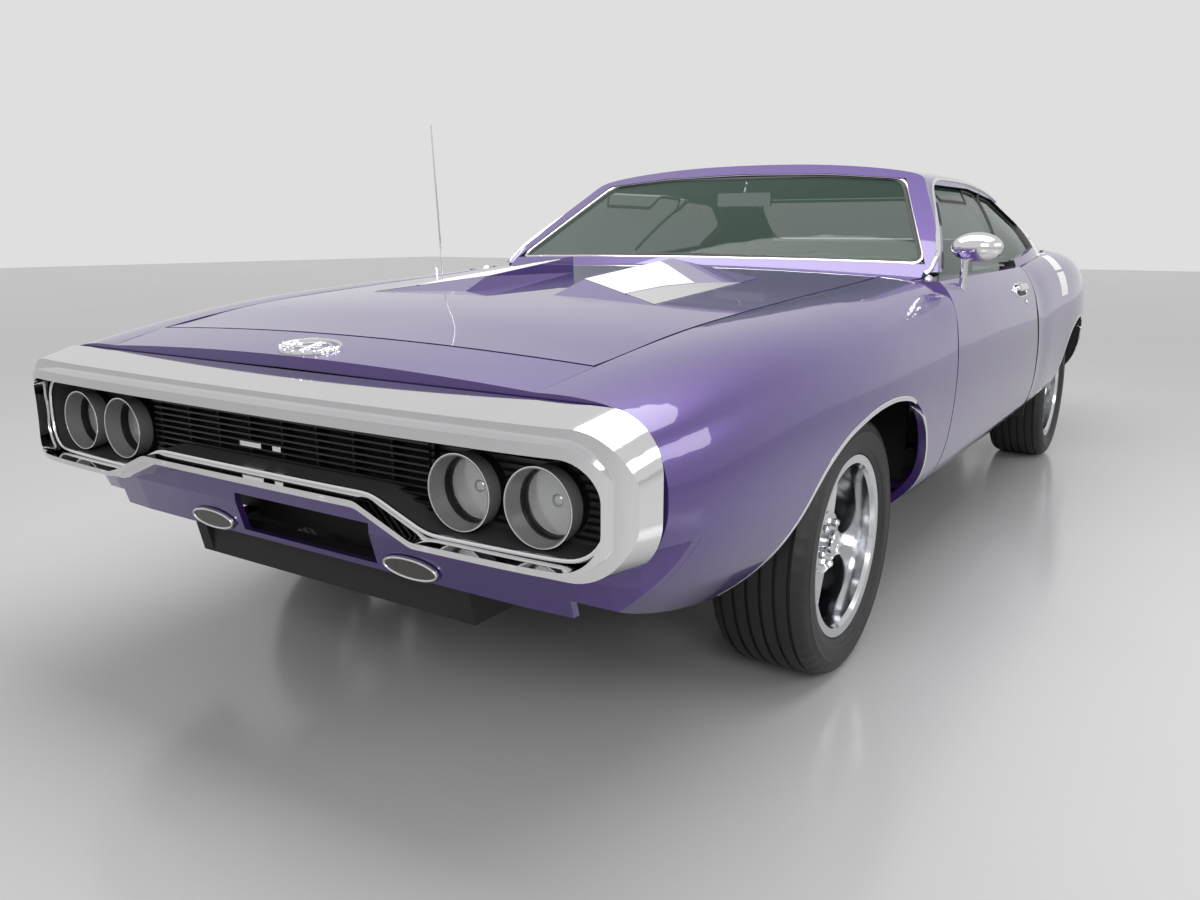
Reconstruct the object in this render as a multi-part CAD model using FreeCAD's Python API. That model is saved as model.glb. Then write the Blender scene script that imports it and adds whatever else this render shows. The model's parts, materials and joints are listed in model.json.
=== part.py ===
import FreeCAD
import Part
import math
import os

# Two-door hardtop muscle car of the early seventies, in millimetres.
# +X points forward, +Y to the car's left and +Z up, from the floor under mid-length.

V = FreeCAD.Vector

# Overall sizes
LENGTH = 5160.0
WIDTH = 2009.0
HEIGHT = 1339.0
BELT_HEIGHT = 945.0
WHEELBASE = 2921.0
FRONT_OVERHANG = 1050.0
TRACK = 1610.0
HALF_LENGTH = LENGTH / 2
HALF_WIDTH = WIDTH / 2
FRONT_AXLE_X = HALF_LENGTH - FRONT_OVERHANG
REAR_AXLE_X = FRONT_AXLE_X - WHEELBASE
WHEEL_Y = TRACK / 2

# Clearances
GAP = 8.0
SEAM = 0.5
SEAT_GAP = 0.3
OVERRUN = 60.0

# Body panels
SKIN = 22.0
HOOD_THICK = 26.0
DOOR_THICK = 80.0
QUARTER_THICK = 55.0
DOOR_FRONT_X = 980.0
DOOR_TOP_X = 812.0
DOOR_REAR_X = -448.0
SILL_TOP = 330.0
FENDER_FRONT_X = 2432.0
TAIL_PANEL_X = -2470.0
HOOD_REAR_X = 771.0
HOOD_FRONT_X = 2275.0
COWL_REAR_X = 640.0
DECK_FRONT_X = -1560.0
DECK_REAR_X = -2462.0
STATION_STEP = 225.0

# Wheels and tyres
TYRE_RADIUS = 322.0
HUB_RADIUS = 78.0
CAP_RADIUS = 33.0
SPOKE_COUNT = 5
SPINDLE_RADIUS = 30.0
ARCH_RADIUS = 400.0

# Sections of the body side from the sill up to the top edge of each panel.
# Each row holds a place along half the length and pairs of half width and belt height.
SIDE_SHARES = (
    (0.957, ((0.781, 0.471), (0.838, 0.529), (0.876, 0.593), (0.899, 0.667), (0.889, 0.741), (0.834,
        0.813), (0.637, 0.838))),
    (0.872, ((0.806, 0.394), (0.876, 0.466), (0.921, 0.550), (0.942, 0.648), (0.926, 0.767), (0.858,
        0.853), (0.667, 0.883))),
    (0.748, ((0.831, 0.349), (0.903, 0.423), (0.950, 0.519), (0.968, 0.642), (0.954, 0.794), (0.876,
        0.899), (0.687, 0.927))),
    (0.593, ((0.841, 0.323), (0.921, 0.397), (0.971, 0.497), (0.988, 0.639), (0.970, 0.815), (0.880,
        0.929), (0.702, 0.956))),
    (0.438, ((0.842, 0.309), (0.921, 0.383), (0.978, 0.481), (0.994, 0.648), (0.972, 0.831), (0.892,
        0.944), (0.719, 0.980))),
    (0.333, ((0.840, 0.305), (0.921, 0.379), (0.980, 0.474), (0.996, 0.656), (0.974, 0.842), (0.918,
        0.950), (0.735, 0.999))),
)
DOOR_SHARES = (
    (0.438, ((0.842, 0.309), (0.921, 0.383), (0.978, 0.481), (0.994, 0.648), (0.974, 0.838), (0.934,
        0.938), (0.893, 0.980))),
    (0.333, ((0.840, 0.305), (0.921, 0.379), (0.980, 0.474), (0.996, 0.656), (0.974, 0.842), (0.930,
        0.945), (0.893, 0.985))),
    (0.155, ((0.838, 0.304), (0.921, 0.378), (0.980, 0.474), (0.996, 0.661), (0.976, 0.847), (0.934,
        0.947), (0.901, 0.993))),
    (0.000, ((0.838, 0.304), (0.921, 0.378), (0.980, 0.474), (0.996, 0.667), (0.976, 0.849), (0.934,
        0.949), (0.899, 0.994))),
    (-0.174, ((0.838, 0.306), (0.920, 0.380), (0.979, 0.477), (0.996, 0.671), (0.976, 0.853), (0.932,
        0.954), (0.889, 1.000))),
    (-0.349, ((0.838, 0.312), (0.918, 0.388), (0.978, 0.487), (0.998, 0.677), (0.984, 0.868), (0.934,
        0.980), (0.868, 1.026))),
    (-0.539, ((0.836, 0.325), (0.920, 0.400), (0.978, 0.500), (0.998, 0.681), (0.986, 0.885), (0.926,
        1.004), (0.812, 1.052))),
    (-0.736, ((0.820, 0.345), (0.893, 0.425), (0.939, 0.530), (0.953, 0.679), (0.936, 0.868), (0.868,
        0.985), (0.715, 1.026))),
    (-0.891, ((0.796, 0.375), (0.855, 0.455), (0.890, 0.553), (0.902, 0.677), (0.884, 0.834), (0.824,
        0.931), (0.684, 0.971))),
    (-0.973, ((0.772, 0.400), (0.828, 0.480), (0.858, 0.572), (0.870, 0.677), (0.852, 0.802), (0.798,
        0.891), (0.657, 0.931))),
)
# Crown of the hood and the deck over the panel's edge, as a share of the belt height
CROWN_SHARE = 0.020
# Place of a section's top point and of its last point on the rocker
TOP_POINT = 6
ROCKER_POINT = 2


def flip(shape):
    return shape.mirror(V(0, 0, 0), V(0, 1, 0))


def both(shape):
    return Part.makeCompound([shape, flip(shape)])


def block(x0, x1, y0, y1, z0, z1):
    return Part.makeBox(x1 - x0, y1 - y0, z1 - z0, V(x0, y0, z0))


def tube(x, y, z, radius, length, axis):
    return Part.makeCylinder(radius, length, V(x, y, z), axis)


def outline(points):
    return Part.makePolygon(list(points) + [points[0]])


def plate(points, sweep):
    return Part.Face(outline(points)).extrude(sweep)


def prism_y(pairs, y0, y1):
    return plate([V(x, y0, z) for x, z in pairs], V(0, y1 - y0, 0))


def prism_x(pairs, x0, x1):
    return plate([V(x0, y, z) for y, z in pairs], V(x1 - x0, 0, 0))


def curve(points):
    span = len(points) - 1
    line = Part.BSplineCurve()
    line.interpolate(Points=points, Parameters=[i / span for i in range(span + 1)])
    return line.toShape()


def blend(rows, place):
    """Values of a table at one place, on smooth curves through its rows."""
    rows = sorted(rows)
    keys = [row[0] for row in rows]
    place = min(max(place, keys[0]), keys[-1])
    low = max(i for i in range(len(rows) - 1) if keys[i] <= place)
    step = keys[low + 1] - keys[low]
    t = (place - keys[low]) / step

    def slope(i, j):
        before = max(i - 1, 0)
        after = min(i + 1, len(rows) - 1)
        return (rows[after][1][j] - rows[before][1][j]) / (keys[after] - keys[before])

    values = []
    for j in range(len(rows[0][1])):
        a = rows[low][1][j]
        b = rows[low + 1][1][j]
        m0 = slope(low, j) * step
        m1 = slope(low + 1, j) * step
        h = t * t * (3 - 2 * t)
        values.append(a + (b - a) * h + m0 * t * (1 - t) ** 2 - m1 * t * t * (1 - t))
    return values


def flat_rows(rows):
    return [(row[0], [v for pair in row[1] for v in pair]) for row in rows]


SIDE_ROWS = flat_rows(SIDE_SHARES)
DOOR_ROWS = flat_rows(DOOR_SHARES)


def section(rows, x):
    """Outer points of the left body side at x, from the sill up."""
    flat = blend(rows, x / HALF_LENGTH)
    pairs = zip(flat[0::2], flat[1::2])
    return [V(x, y * HALF_WIDTH, z * BELT_HEIGHT) for y, z in pairs]


def inset(points, depth):
    """The points moved square to their curve, towards the car's middle."""
    moved = []
    for i, point in enumerate(points):
        along = points[min(i + 1, len(points) - 1)] - points[max(i - 1, 0)]
        square = V(0, -along.z, along.y)
        square.normalize()
        moved.append(point + square * depth)
    return moved


def inset_to_edge(points, depth, flat_top):
    """As inset, with a top edge that ends upright, or flat where glass comes out of it."""
    inward = V(0, -depth, 0) if flat_top else V(0, 0, -depth)
    return inset(points, depth)[:-1] + [points[-1] + inward]


def stations(x0, x1):
    count = max(2, int(math.ceil(abs(x1 - x0) / STATION_STEP)))
    return [x0 + (x1 - x0) * i / count for i in range(count + 1)]


def band(outer, inner):
    """A closed wire round a strip of skin between two rows of points."""
    edges = [curve(outer)]
    edges.append(Part.makeLine(outer[-1], inner[-1]))
    edges.append(curve(list(reversed(inner))))
    edges.append(Part.makeLine(inner[0], outer[0]))
    return Part.Wire(edges)


def skin(rows, x0, x1, first, last, depth, flat_top=False):
    wires = []
    for x in stations(x0, x1):
        outer = section(rows, x)[first:last + 1]
        inner = inset_to_edge(outer, depth, flat_top) if last == TOP_POINT else inset(outer, depth)
        wires.append(band(outer, inner))
    return Part.makeLoft(wires, True, False)


# Wheel arch, drawn from the axle as shares of the arch's half length
ARCH_SHARES = (
    (-1.0, -0.8),
    (-1.0, -0.18),
    (-0.975, 0.145),
    (-0.875, 0.445),
    (-0.725, 0.695),
    (-0.475, 0.85),
    (-0.125, 0.895),
    (0.225, 0.875),
    (0.625, 0.795),
    (0.925, 0.645),
    (1.15, 0.383),
    (1.325, 0.158),
    (1.46, 0.058),
    (1.575, -0.18),
    (1.62, -0.8),
)
REAR_ARCH_SHARE = 0.8
ARCH_INNER_Y = 560.0


def arch_prism(axle_x, lead, grow, y0, y1):
    """A prism along Y in the outline of a wheel arch, its front half stretched by lead."""
    points = []
    for a, b in ARCH_SHARES:
        out = V(ARCH_RADIUS * (a * lead if a > 0 else a), 0, ARCH_RADIUS * b)
        points.append(V(axle_x, y0, TYRE_RADIUS) + out * (1 + grow / out.Length))
    wire = Part.Wire([curve(points), Part.makeLine(points[-1], points[0])])
    return Part.Face(wire).extrude(V(0, y1 - y0, 0))


def arch_tool(axle_x, lead):
    return arch_prism(axle_x, lead, 0, ARCH_INNER_Y, WIDTH)


# Front and rear edges of the doors in side view: shares of the belt height, and places
DOOR_EDGE_SHARES = (-0.1, 0.42, 0.53, 0.593, 0.677, 0.75, 0.823, 0.872, 0.92, 0.965, 1.05, 1.2)
DOOR_FRONT_LEAN = (0.0, 0.0, 8.0, 20.0, 45.0, 70.0, 95.0, 118.0, 145.0, 165.0, 168.0, 168.0)
DOOR_REAR_LEAN = (0.0, 0.0, 3.0, 9.0, 13.0, 16.0, 12.0, -4.0, -30.0, -60.0, -90.0, -98.0)
DOOR_REAR_LOW_X = -350.0


def edge_line(x, leans, way):
    return [V(x + way * lean, 0, share * BELT_HEIGHT) for share, lean in zip(DOOR_EDGE_SHARES, leans)]


def door_outline(grow, rear_grow):
    """A prism along Y inside the door's front and rear edges, moved out by the two sizes."""
    front = edge_line(DOOR_FRONT_X + grow, DOOR_FRONT_LEAN, -1)
    rear = edge_line(DOOR_REAR_LOW_X - rear_grow, DOOR_REAR_LEAN, 1)
    edges = [curve(front), Part.makeLine(front[-1], rear[-1]), curve(list(reversed(rear))),
        Part.makeLine(rear[0], front[0])]
    face = Part.Face(Part.Wire(edges))
    face.translate(V(0, -WIDTH, 0))
    return face.extrude(V(0, WIDTH * 2, 0))


# Front fenders
def fender():
    panel = skin(SIDE_ROWS, FENDER_FRONT_X, DOOR_TOP_X + GAP, 0, TOP_POINT, SKIN)
    return panel.cut(arch_tool(FRONT_AXLE_X, 1)).cut(door_outline(GAP, GAP)).cut(valance_front())


# Doors, each as thick as the whole door
DOOR_BASE = SILL_TOP + GAP
DOOR_FLANGE = 30.0
DOOR_STEP = 14.0


def door():
    outer = skin(DOOR_ROWS, DOOR_FRONT_X, DOOR_REAR_X, 0, TOP_POINT, DOOR_FLANGE)
    whole = skin(DOOR_ROWS, DOOR_FRONT_X, DOOR_REAR_X, 0, TOP_POINT, DOOR_THICK, True)
    below = block(DOOR_REAR_X - OVERRUN, DOOR_FRONT_X + OVERRUN, 0, WIDTH, 0, DOOR_BASE)
    inner = whole.common(door_outline(0, -DOOR_STEP))
    flange = outer.common(whole).common(door_outline(0, 0))
    return inner.fuse(flange).cut(below).removeSplitter()


# Rear quarters with their wheel arches
def quarter():
    panel = skin(DOOR_ROWS, DOOR_REAR_LOW_X, TAIL_PANEL_X, 0, TOP_POINT, QUARTER_THICK)
    return panel.cut(arch_tool(REAR_AXLE_X, REAR_ARCH_SHARE)).cut(door_outline(GAP, GAP))


# Rocker panels under the doors
ROCKER_DEPTH = 60.0
SILL_BOX_Y = 836.0
SILL_BOX_LOW = 298.0


def rocker():
    x0 = DOOR_FRONT_X + GAP - SEAM
    x1 = DOOR_REAR_LOW_X - GAP + SEAM
    panel = skin(DOOR_ROWS, x0, x1, 0, ROCKER_POINT, ROCKER_DEPTH)
    above = block(x1 - OVERRUN, x0 + OVERRUN, 0, WIDTH, SILL_TOP, HEIGHT)
    box = block(x1, x0, FLOOR_HALF + SEAT_GAP, SILL_BOX_Y, SILL_BOX_LOW, SILL_TOP)
    return panel.cut(above).fuse(box).removeSplitter()


# Hood and trunk lid
CROWN_PLACE_SHARES = (-1.0, -0.75, -0.4, 0.0, 0.4, 0.75, 1.0)


def lid(rows, x0, x1, depth, side_gap):
    wires = []
    for x in stations(x0, x1):
        edge = section(rows, x)[TOP_POINT]
        y = edge.y - side_gap
        rise = CROWN_SHARE * BELT_HEIGHT
        top = [V(x, y * s, edge.z + rise * (1 - s * s)) for s in CROWN_PLACE_SHARES]
        low = [p - V(0, 0, depth) for p in top]
        wires.append(band(top, low))
    return Part.makeLoft(wires, True, False)


def deck_z(rows, x, y):
    edge = section(rows, x)[TOP_POINT]
    share = y / (edge.y - GAP)
    return edge.z + CROWN_SHARE * BELT_HEIGHT * (1 - share * share)


# Twin lozenge scoops on the hood: plan corners, with the rise of the ridge over the deck
SCOOP_TIP = (1700.0, 150.0)
SCOOP_CORNER = (1740.0, 470.0)
SCOOP_REAR = (1085.0, 450.0)
SCOOP_HEEL = (1130.0, 185.0)
SCOOP_SHOULDER = (1590.0, 168.0)
SHOULDER_RISE = 30.0
HEEL_RISE = 50.0
INSERT_THICK = 2.0
INSERT_EDGE = 10.0


def deck_point(place, rise):
    x, y = place
    return V(x, y, deck_z(SIDE_ROWS, x, y) + rise)


def faceted(rings):
    """A solid from rings of corners, each ring split into triangles round its first corner."""
    faces = []
    for ring in rings:
        for i in range(1, len(ring) - 1):
            faces.append(Part.Face(outline([ring[0], ring[i], ring[i + 1]])))
    solid = Part.makeSolid(Part.makeShell(faces))
    if solid.Volume < 0:
        solid.reverse()
    return solid


def scoop():
    tip = deck_point(SCOOP_TIP, 0)
    corner = deck_point(SCOOP_CORNER, 0)
    rear = deck_point(SCOOP_REAR, 0)
    heel = deck_point(SCOOP_HEEL, 0)
    shoulder = deck_point(SCOOP_SHOULDER, SHOULDER_RISE)
    peak = deck_point(SCOOP_HEEL, HEEL_RISE)
    sunk = V(0, 0, HOOD_THICK / 2)
    base = [p - sunk for p in (tip, corner, rear, heel)]
    rings = [(base[0], base[1], base[2], base[3])]
    rings.append((base[0], base[1], corner, tip))
    rings.append((base[1], base[2], rear, corner))
    rings.append((base[2], base[3], heel, rear))
    rings.append((base[3], base[0], tip, heel))
    rings.append((tip, corner, shoulder))
    rings.append((corner, rear, peak, shoulder))
    rings.append((rear, heel, peak))
    rings.append((heel, tip, shoulder, peak))
    return faceted(rings)


def insert_plate(low_share, high_share):
    """A thin plate on the sloping face of the scoop, between two shares of its height."""
    corner = deck_point(SCOOP_CORNER, 0)
    rear = deck_point(SCOOP_REAR, 0)
    shoulder = deck_point(SCOOP_SHOULDER, SHOULDER_RISE)
    peak = deck_point(SCOOP_HEEL, HEEL_RISE)
    square = (peak - corner).cross(rear - corner)
    square.normalize()
    square = square if square.z > 0 else square * -1
    share = INSERT_EDGE / (corner - rear).Length
    ends = ((corner + (rear - corner) * share, shoulder + (peak - shoulder) * share),
            (rear + (corner - rear) * share, peak + (shoulder - peak) * share))
    plate_corners = []
    for low, high in ends:
        plate_corners.append((low + (high - low) * low_share, low + (high - low) * high_share))
    lift = square * INSERT_THICK
    under = [p - lift for p in (plate_corners[0][0], plate_corners[1][0], plate_corners[1][1],
        plate_corners[0][1])]
    over = [p + lift * 2 for p in under]
    rings = [under, over]
    for i in range(4):
        j = (i + 1) % 4
        rings.append((under[i], under[j], over[j], over[i]))
    return faceted(rings)


def hood():
    panel = lid(SIDE_ROWS, HOOD_FRONT_X, HOOD_REAR_X, HOOD_THICK, GAP)
    left = scoop()
    return panel.fuse([left, flip(left)]).removeSplitter()


def scoop_insert(hood_shape):
    lifted = hood_shape.copy()
    lifted.translate(V(0, 0, SEAT_GAP * 1.2))
    sheet = insert_plate(0, 1).cut(lifted)
    return max(sheet.Solids, key=lambda s: s.Volume)


# Fixed panel between the hood and the bumper
def nose_panel():
    return lid(SIDE_ROWS, FENDER_FRONT_X, HOOD_FRONT_X + GAP, HOOD_THICK, SEAT_GAP)


def trunk_lid():
    return lid(DOOR_ROWS, DECK_FRONT_X - GAP, DECK_REAR_X, HOOD_THICK, GAP)


# Cowl between the hood and the windshield, with the hood's hinge leaves and its own brackets
COWL_BOX_DEPTH = 60.0
COWL_EDGE_Z = 936.0
COWL_RISE = 27.0
DOOR_INNER_Y = 817.0
HINGE_Y = 480.0
HINGE_WIDE = 40.0
HINGE_LONG = 30.0
HINGE_HIGH = 14.0
BRACKET_Y = 700.0
BRACKET_LOW = 872.0
BRACKET_HIGH = 892.0


def hood_hinge():
    x1 = HOOD_REAR_X + HINGE_LONG
    top = deck_z(SIDE_ROWS, x1, HINGE_Y + HINGE_WIDE) - HOOD_THICK - SEAT_GAP
    return block(COWL_REAR_X + OVERRUN, x1, HINGE_Y, HINGE_Y + HINGE_WIDE, top - HINGE_HIGH, top)


def cowl_box(depth, lift):
    wires = []
    half = DOOR_INNER_Y - GAP
    for x in stations(HOOD_REAR_X - GAP, COWL_REAR_X):
        top = [V(x, half * s, COWL_EDGE_Z + lift + COWL_RISE * (1 - s * s)) for s in CROWN_PLACE_SHARES]
        low = [p - V(0, 0, depth) for p in top]
        wires.append(band(top, low))
    return Part.makeLoft(wires, True, True)


def cowl_ear():
    """The corner between the hood, the fender and the door."""
    edge = section(SIDE_ROWS, DOOR_TOP_X)[TOP_POINT]
    half = DOOR_INNER_Y - GAP
    low = COWL_EDGE_Z - COWL_BOX_DEPTH
    pairs = ((edge.y, low), (half, low), (half, COWL_EDGE_Z), (edge.y, edge.z))
    return prism_x(pairs, HOOD_REAR_X - GAP - SEAM, DOOR_TOP_X + GAP - SEAT_GAP)


def cowl():
    bracket = block(COWL_REAR_X + OVERRUN, FIREWALL_X - SEAT_GAP, BRACKET_Y, BRACKET_Y + HINGE_WIDE,
        BRACKET_LOW, BRACKET_HIGH)
    left = [hood_hinge(), cowl_ear(), bracket]
    return cowl_box(COWL_BOX_DEPTH, 0).fuse(left + [flip(p) for p in left]).removeSplitter()


# Roof and pillars: front-view sections met by a side profile
CABIN_SHARES = (
    (0.340, ((0.856, 0.952), (0.846, 0.995), (0.775, 1.153), (0.690, 1.290), (0.610, 1.345), (0.330,
        1.378), (0.000, 1.388))),
    (0.040, ((0.872, 0.952), (0.862, 0.996), (0.784, 1.153), (0.692, 1.297), (0.612, 1.357), (0.330,
        1.393), (0.000, 1.403))),
    (-0.136, ((0.872, 0.952), (0.862, 1.000), (0.784, 1.159), (0.690, 1.300), (0.605, 1.365), (0.330,
        1.405), (0.000, 1.417))),
    (-0.310, ((0.874, 0.952), (0.868, 1.020), (0.775, 1.164), (0.665, 1.298), (0.575, 1.358), (0.320,
        1.392), (0.000, 1.402))),
    (-0.465, ((0.838, 0.952), (0.826, 1.039), (0.737, 1.159), (0.615, 1.275), (0.520, 1.325), (0.280,
        1.352), (0.000, 1.360))),
    (-0.700, ((0.760, 0.952), (0.737, 1.032), (0.647, 1.122), (0.518, 1.206), (0.428, 1.243), (0.240,
        1.264), (0.000, 1.270))),
)
CABIN_ROWS = flat_rows(CABIN_SHARES)
SHIELD_BASE_X = 800.0
SHIELD_TOP_X = 205.0
SHIELD_BASE_Z = 925.0
SHIELD_TOP_Z = 1320.0
SHIELD_BOW = 150.0
BACK_TOP_X = -890.0
BACK_TOP_Z = 1300.0
BACK_BASE_X = -1560.0
BACK_BASE_Z = 985.0
BACK_BOW = 60.0
PILLAR = 40.0


def cabin_sections(depth):
    wires = []
    for x in stations(SHIELD_BASE_X + OVERRUN, BACK_BASE_X - OVERRUN):
        flat = blend(CABIN_ROWS, x / HALF_LENGTH)
        side = [V(x, y * HALF_WIDTH, z * BELT_HEIGHT) for y, z in zip(flat[0::2], flat[1::2])]
        side = inset(side, depth) if depth else side
        side[-1] = V(x, 0, side[-1].z)
        whole = [V(p.x, -p.y, p.z) for p in side] + list(reversed(side[:-1]))
        edges = [curve(whole), Part.makeLine(whole[-1], whole[0])]
        wires.append(Part.Wire(edges))
    return Part.makeLoft(wires, True, False)


BOW_PLACE_SHARES = (-1.0, -0.8, -0.6, -0.3, 0.0, 0.3, 0.6, 0.8, 1.0)


def cabin_profile(depth):
    """The side profile, bowed across the car, moved inwards by depth."""
    wires = []
    run = math.hypot(SHIELD_BASE_X - SHIELD_TOP_X, SHIELD_TOP_Z - SHIELD_BASE_Z)
    push = depth * run / (SHIELD_TOP_Z - SHIELD_BASE_Z)
    back_run = math.hypot(BACK_BASE_X - BACK_TOP_X, BACK_TOP_Z - BACK_BASE_Z)
    back_push = depth * back_run / (BACK_TOP_Z - BACK_BASE_Z)
    lift = HEIGHT + OVERRUN
    slope = (SHIELD_TOP_X - SHIELD_BASE_X) / (SHIELD_TOP_Z - SHIELD_BASE_Z)
    back_slope = (BACK_TOP_X - BACK_BASE_X) / (BACK_TOP_Z - BACK_BASE_Z)
    for share in BOW_PLACE_SHARES:
        y = share * HALF_WIDTH
        bow = SHIELD_BOW * share * share
        back_bow = BACK_BOW * share * share
        x0 = SHIELD_BASE_X - push - bow
        x1 = BACK_BASE_X + back_push + back_bow
        low = BELT_HEIGHT - OVERRUN
        corners = [V(x0 + slope * (low - SHIELD_BASE_Z), y, low),
            V(x0 + slope * (lift - SHIELD_BASE_Z), y, lift),
                   V(x1 + back_slope * (lift - BACK_BASE_Z), y,
                       lift), V(x1 + back_slope * (low - BACK_BASE_Z), y, low)]
        wires.append(outline(corners))
    return Part.makeLoft(wires, True, False)


def cabin(side_depth, profile_depth):
    whole = cabin_sections(0).common(cabin_profile(0))
    return whole.common(cabin_sections(side_depth)).common(cabin_profile(profile_depth))


# Window openings
SIDE_WINDOW = (
    (635.0, 930.0),
    (165.0, 1238.0),
    (-350.0, 1242.0),
    (-800.0, 1212.0),
    (-1040.0, 1110.0),
    (-985.0, 1012.0),
    (-456.0, 966.0),
    (-456.0, 930.0),
)
SHIELD_HALF_OPENING = ((0.0, 986.0), (420.0, 984.0), (700.0, 979.0), (804.0, 975.0), (612.0, 1258.0),
    (340.0, 1281.0), (0.0, 1289.0))
SHIELD_OPENING = SHIELD_HALF_OPENING + tuple((-y, z) for y, z in reversed(SHIELD_HALF_OPENING[1:-1]))
BACK_OPENING = ((-600.0, 1030.0), (600.0, 1030.0), (520.0, 1238.0), (-520.0, 1238.0))
ROOF_BASE = (
    (900.0, 930.0),
    (575.0, 935.0),
    (-448.0, 925.0),
    (-900.0, 948.0),
    (-1391.0, 962.0),
    (-1700.0, 955.0),
)


def window_tool():
    return prism_y(SIDE_WINDOW, -WIDTH, WIDTH)


def roof(quarter_left, shelf_shape):
    shell = cabin_sections(0).common(cabin_profile(0)).cut(cabin(PILLAR, PILLAR))
    shell = shell.cut(window_tool())
    shell = shell.cut(prism_x(SHIELD_OPENING, SHIELD_TOP_X - OVERRUN * 5, SHIELD_BASE_X + OVERRUN * 2))
    shell = shell.cut(prism_x(BACK_OPENING, BACK_BASE_X - OVERRUN, BACK_TOP_X + OVERRUN * 3))
    under = [(x, z) for x, z in ROOF_BASE] + [(ROOF_BASE[-1][0], 0.0), (ROOF_BASE[0][0], 0.0)]
    shell = shell.cut(prism_y(under, -WIDTH, WIDTH)).cut(cowl_box(HEIGHT, SEAT_GAP))
    over_door = BELT_HEIGHT + GAP
    shoulder = DOOR_INNER_Y - GAP
    for y0 in (shoulder, -shoulder - WIDTH):
        shell = shell.cut(block(DOOR_REAR_X - GAP, LENGTH, y0, y0 + WIDTH, 0, over_door))
    shell = shell.cut(quarter_left).cut(flip(quarter_left))
    shell = shell.cut(block(-LENGTH, DECK_FRONT_X, -WIDTH, WIDTH, 0, HEIGHT))
    shell = shell.cut(shelf_shape)
    return max(shell.Solids, key=lambda s: s.Volume)


# Front loop bumper
BUMPER_BACK_X = 2440.0
BUMPER_STEP_X = 2548.0
BUMPER_LIP_X = 2580.0
# Outlines of the loop: half width, top, underside and underside at the middle
BUMPER_BACK = (905.0, 790.0, 505.0, 560.0)
BUMPER_STEP = (884.0, 763.0, 512.0, 566.0)
LIP_BACK = (874.0, 752.0, 518.0, 573.0)
LIP_FRONT = (868.0, 743.0, 523.0, 577.0)
MOUTH_HALF = 846.0
MOUTH_TOP = 722.0
MOUTH_LOW = 534.0
MOUTH_KINK = 590.0
KINK_OUT_Y = 468.0
KINK_IN_Y = 332.0
CORNER_R = 104.0
MOUTH_R = 70.0
KINK_R = 60.0


def rounded(pairs, radii, x):
    """A closed wire in the plane at x, with each corner turned on its own radius."""
    count = len(pairs)
    ends = []
    for i in range(count):
        here = V(x, pairs[i][0], pairs[i][1])
        to_last = V(x, pairs[i - 1][0], pairs[i - 1][1]) - here
        to_next = V(x, pairs[(i + 1) % count][0], pairs[(i + 1) % count][1]) - here
        to_last.normalize()
        to_next.normalize()
        half = math.acos(max(-1.0, min(1.0, to_last.dot(to_next)))) / 2
        back = radii[i] / math.tan(half)
        centre_way = to_last + to_next
        centre_way.normalize()
        centre = here + centre_way * (radii[i] / math.sin(half))
        mid = centre - centre_way * radii[i]
        ends.append((here + to_last * back, mid, here + to_next * back))
    edges = []
    for i in range(count):
        start, mid, end = ends[i]
        edges.append(Part.Arc(start, mid, end).toShape())
        edges.append(Part.makeLine(end, ends[(i + 1) % count][0]))
    return Part.Wire(edges)


def kinked(half, top, low, kink, corner, x):
    pairs = [(half, top), (half, low), (KINK_OUT_Y, low), (KINK_IN_Y, kink)]
    pairs = pairs + [(-y, z) for y, z in reversed(pairs)]
    radii = [corner, corner, KINK_R, KINK_R, KINK_R, KINK_R, corner, corner]
    return rounded(pairs, radii, x)


BOW_SHARES = ((1.000, 0.00), (0.992, 0.45), (0.955, 0.72), (0.860, 0.86), (0.690, 0.93), (0.350,
    0.985), (0.000, 1.00))


def bow_plan(x0, x1, half, z0, z1):
    """A prism whose front edge bows forward from x0 at the sides to x1 at the middle."""
    side = [V(x0 + (x1 - x0) * depth, half * share, z0) for share, depth in BOW_SHARES]
    front = side + [V(p.x, -p.y, p.z) for p in reversed(side[:-1])]
    wire = Part.Wire([curve(front), Part.makeLine(front[-1], front[0])])
    return Part.Face(wire).extrude(V(0, 0, z1 - z0))


def mouth(x0, x1, shrink):
    wire = kinked(MOUTH_HALF - shrink, MOUTH_TOP - shrink, MOUTH_LOW + shrink, MOUTH_KINK + shrink,
        MOUTH_R, x0)
    return Part.Face(wire).extrude(V(x1 - x0, 0, 0))


def ring_solid(back, front, x0, x1):
    wires = [kinked(*back, CORNER_R, x0), kinked(*front, CORNER_R, x1)]
    return Part.makeLoft(wires, True, True).common(bow_plan(x0, x1, back[0], 0, HEIGHT))


def bumper_front():
    band_part = ring_solid(BUMPER_BACK, BUMPER_STEP, BUMPER_BACK_X, BUMPER_STEP_X)
    lip_part = ring_solid(LIP_BACK, LIP_FRONT, BUMPER_BACK_X, BUMPER_LIP_X)
    loop = band_part.fuse(lip_part)
    return loop.cut(mouth(BUMPER_BACK_X - OVERRUN, BUMPER_LIP_X + OVERRUN, 0)).removeSplitter()


# Lamp surround, bezels, lenses and grille inside the loop
SURROUND_X = 2446.0
SURROUND_THICK = 8.0
LAMP_Z = 618.0
LAMP_OUTER_Y = 700.0
LAMP_INNER_Y = 524.0
BEZEL_RADIUS = 72.0
BEZEL_BACK_RADIUS = 67.0
BEZEL_WALL = 4.0
BEZEL_LENGTH = 60.0
LENS_RADIUS = 63.0
LENS_EDGE = 5.0
LENS_DOME = 7.0
LINER_FRONT_X = 2536.0
LINER_IN = 12.0
LINER_THICK = 3.0
GRILLE_HALF = 430.0
GRILLE_BACK_X = 2448.0
GRILLE_DEPTH = 30.0
BAR_PITCH = 14.0
BAR_THICK = 4.0
POST_COUNT = 9
POST_THICK = 6.0


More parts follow.
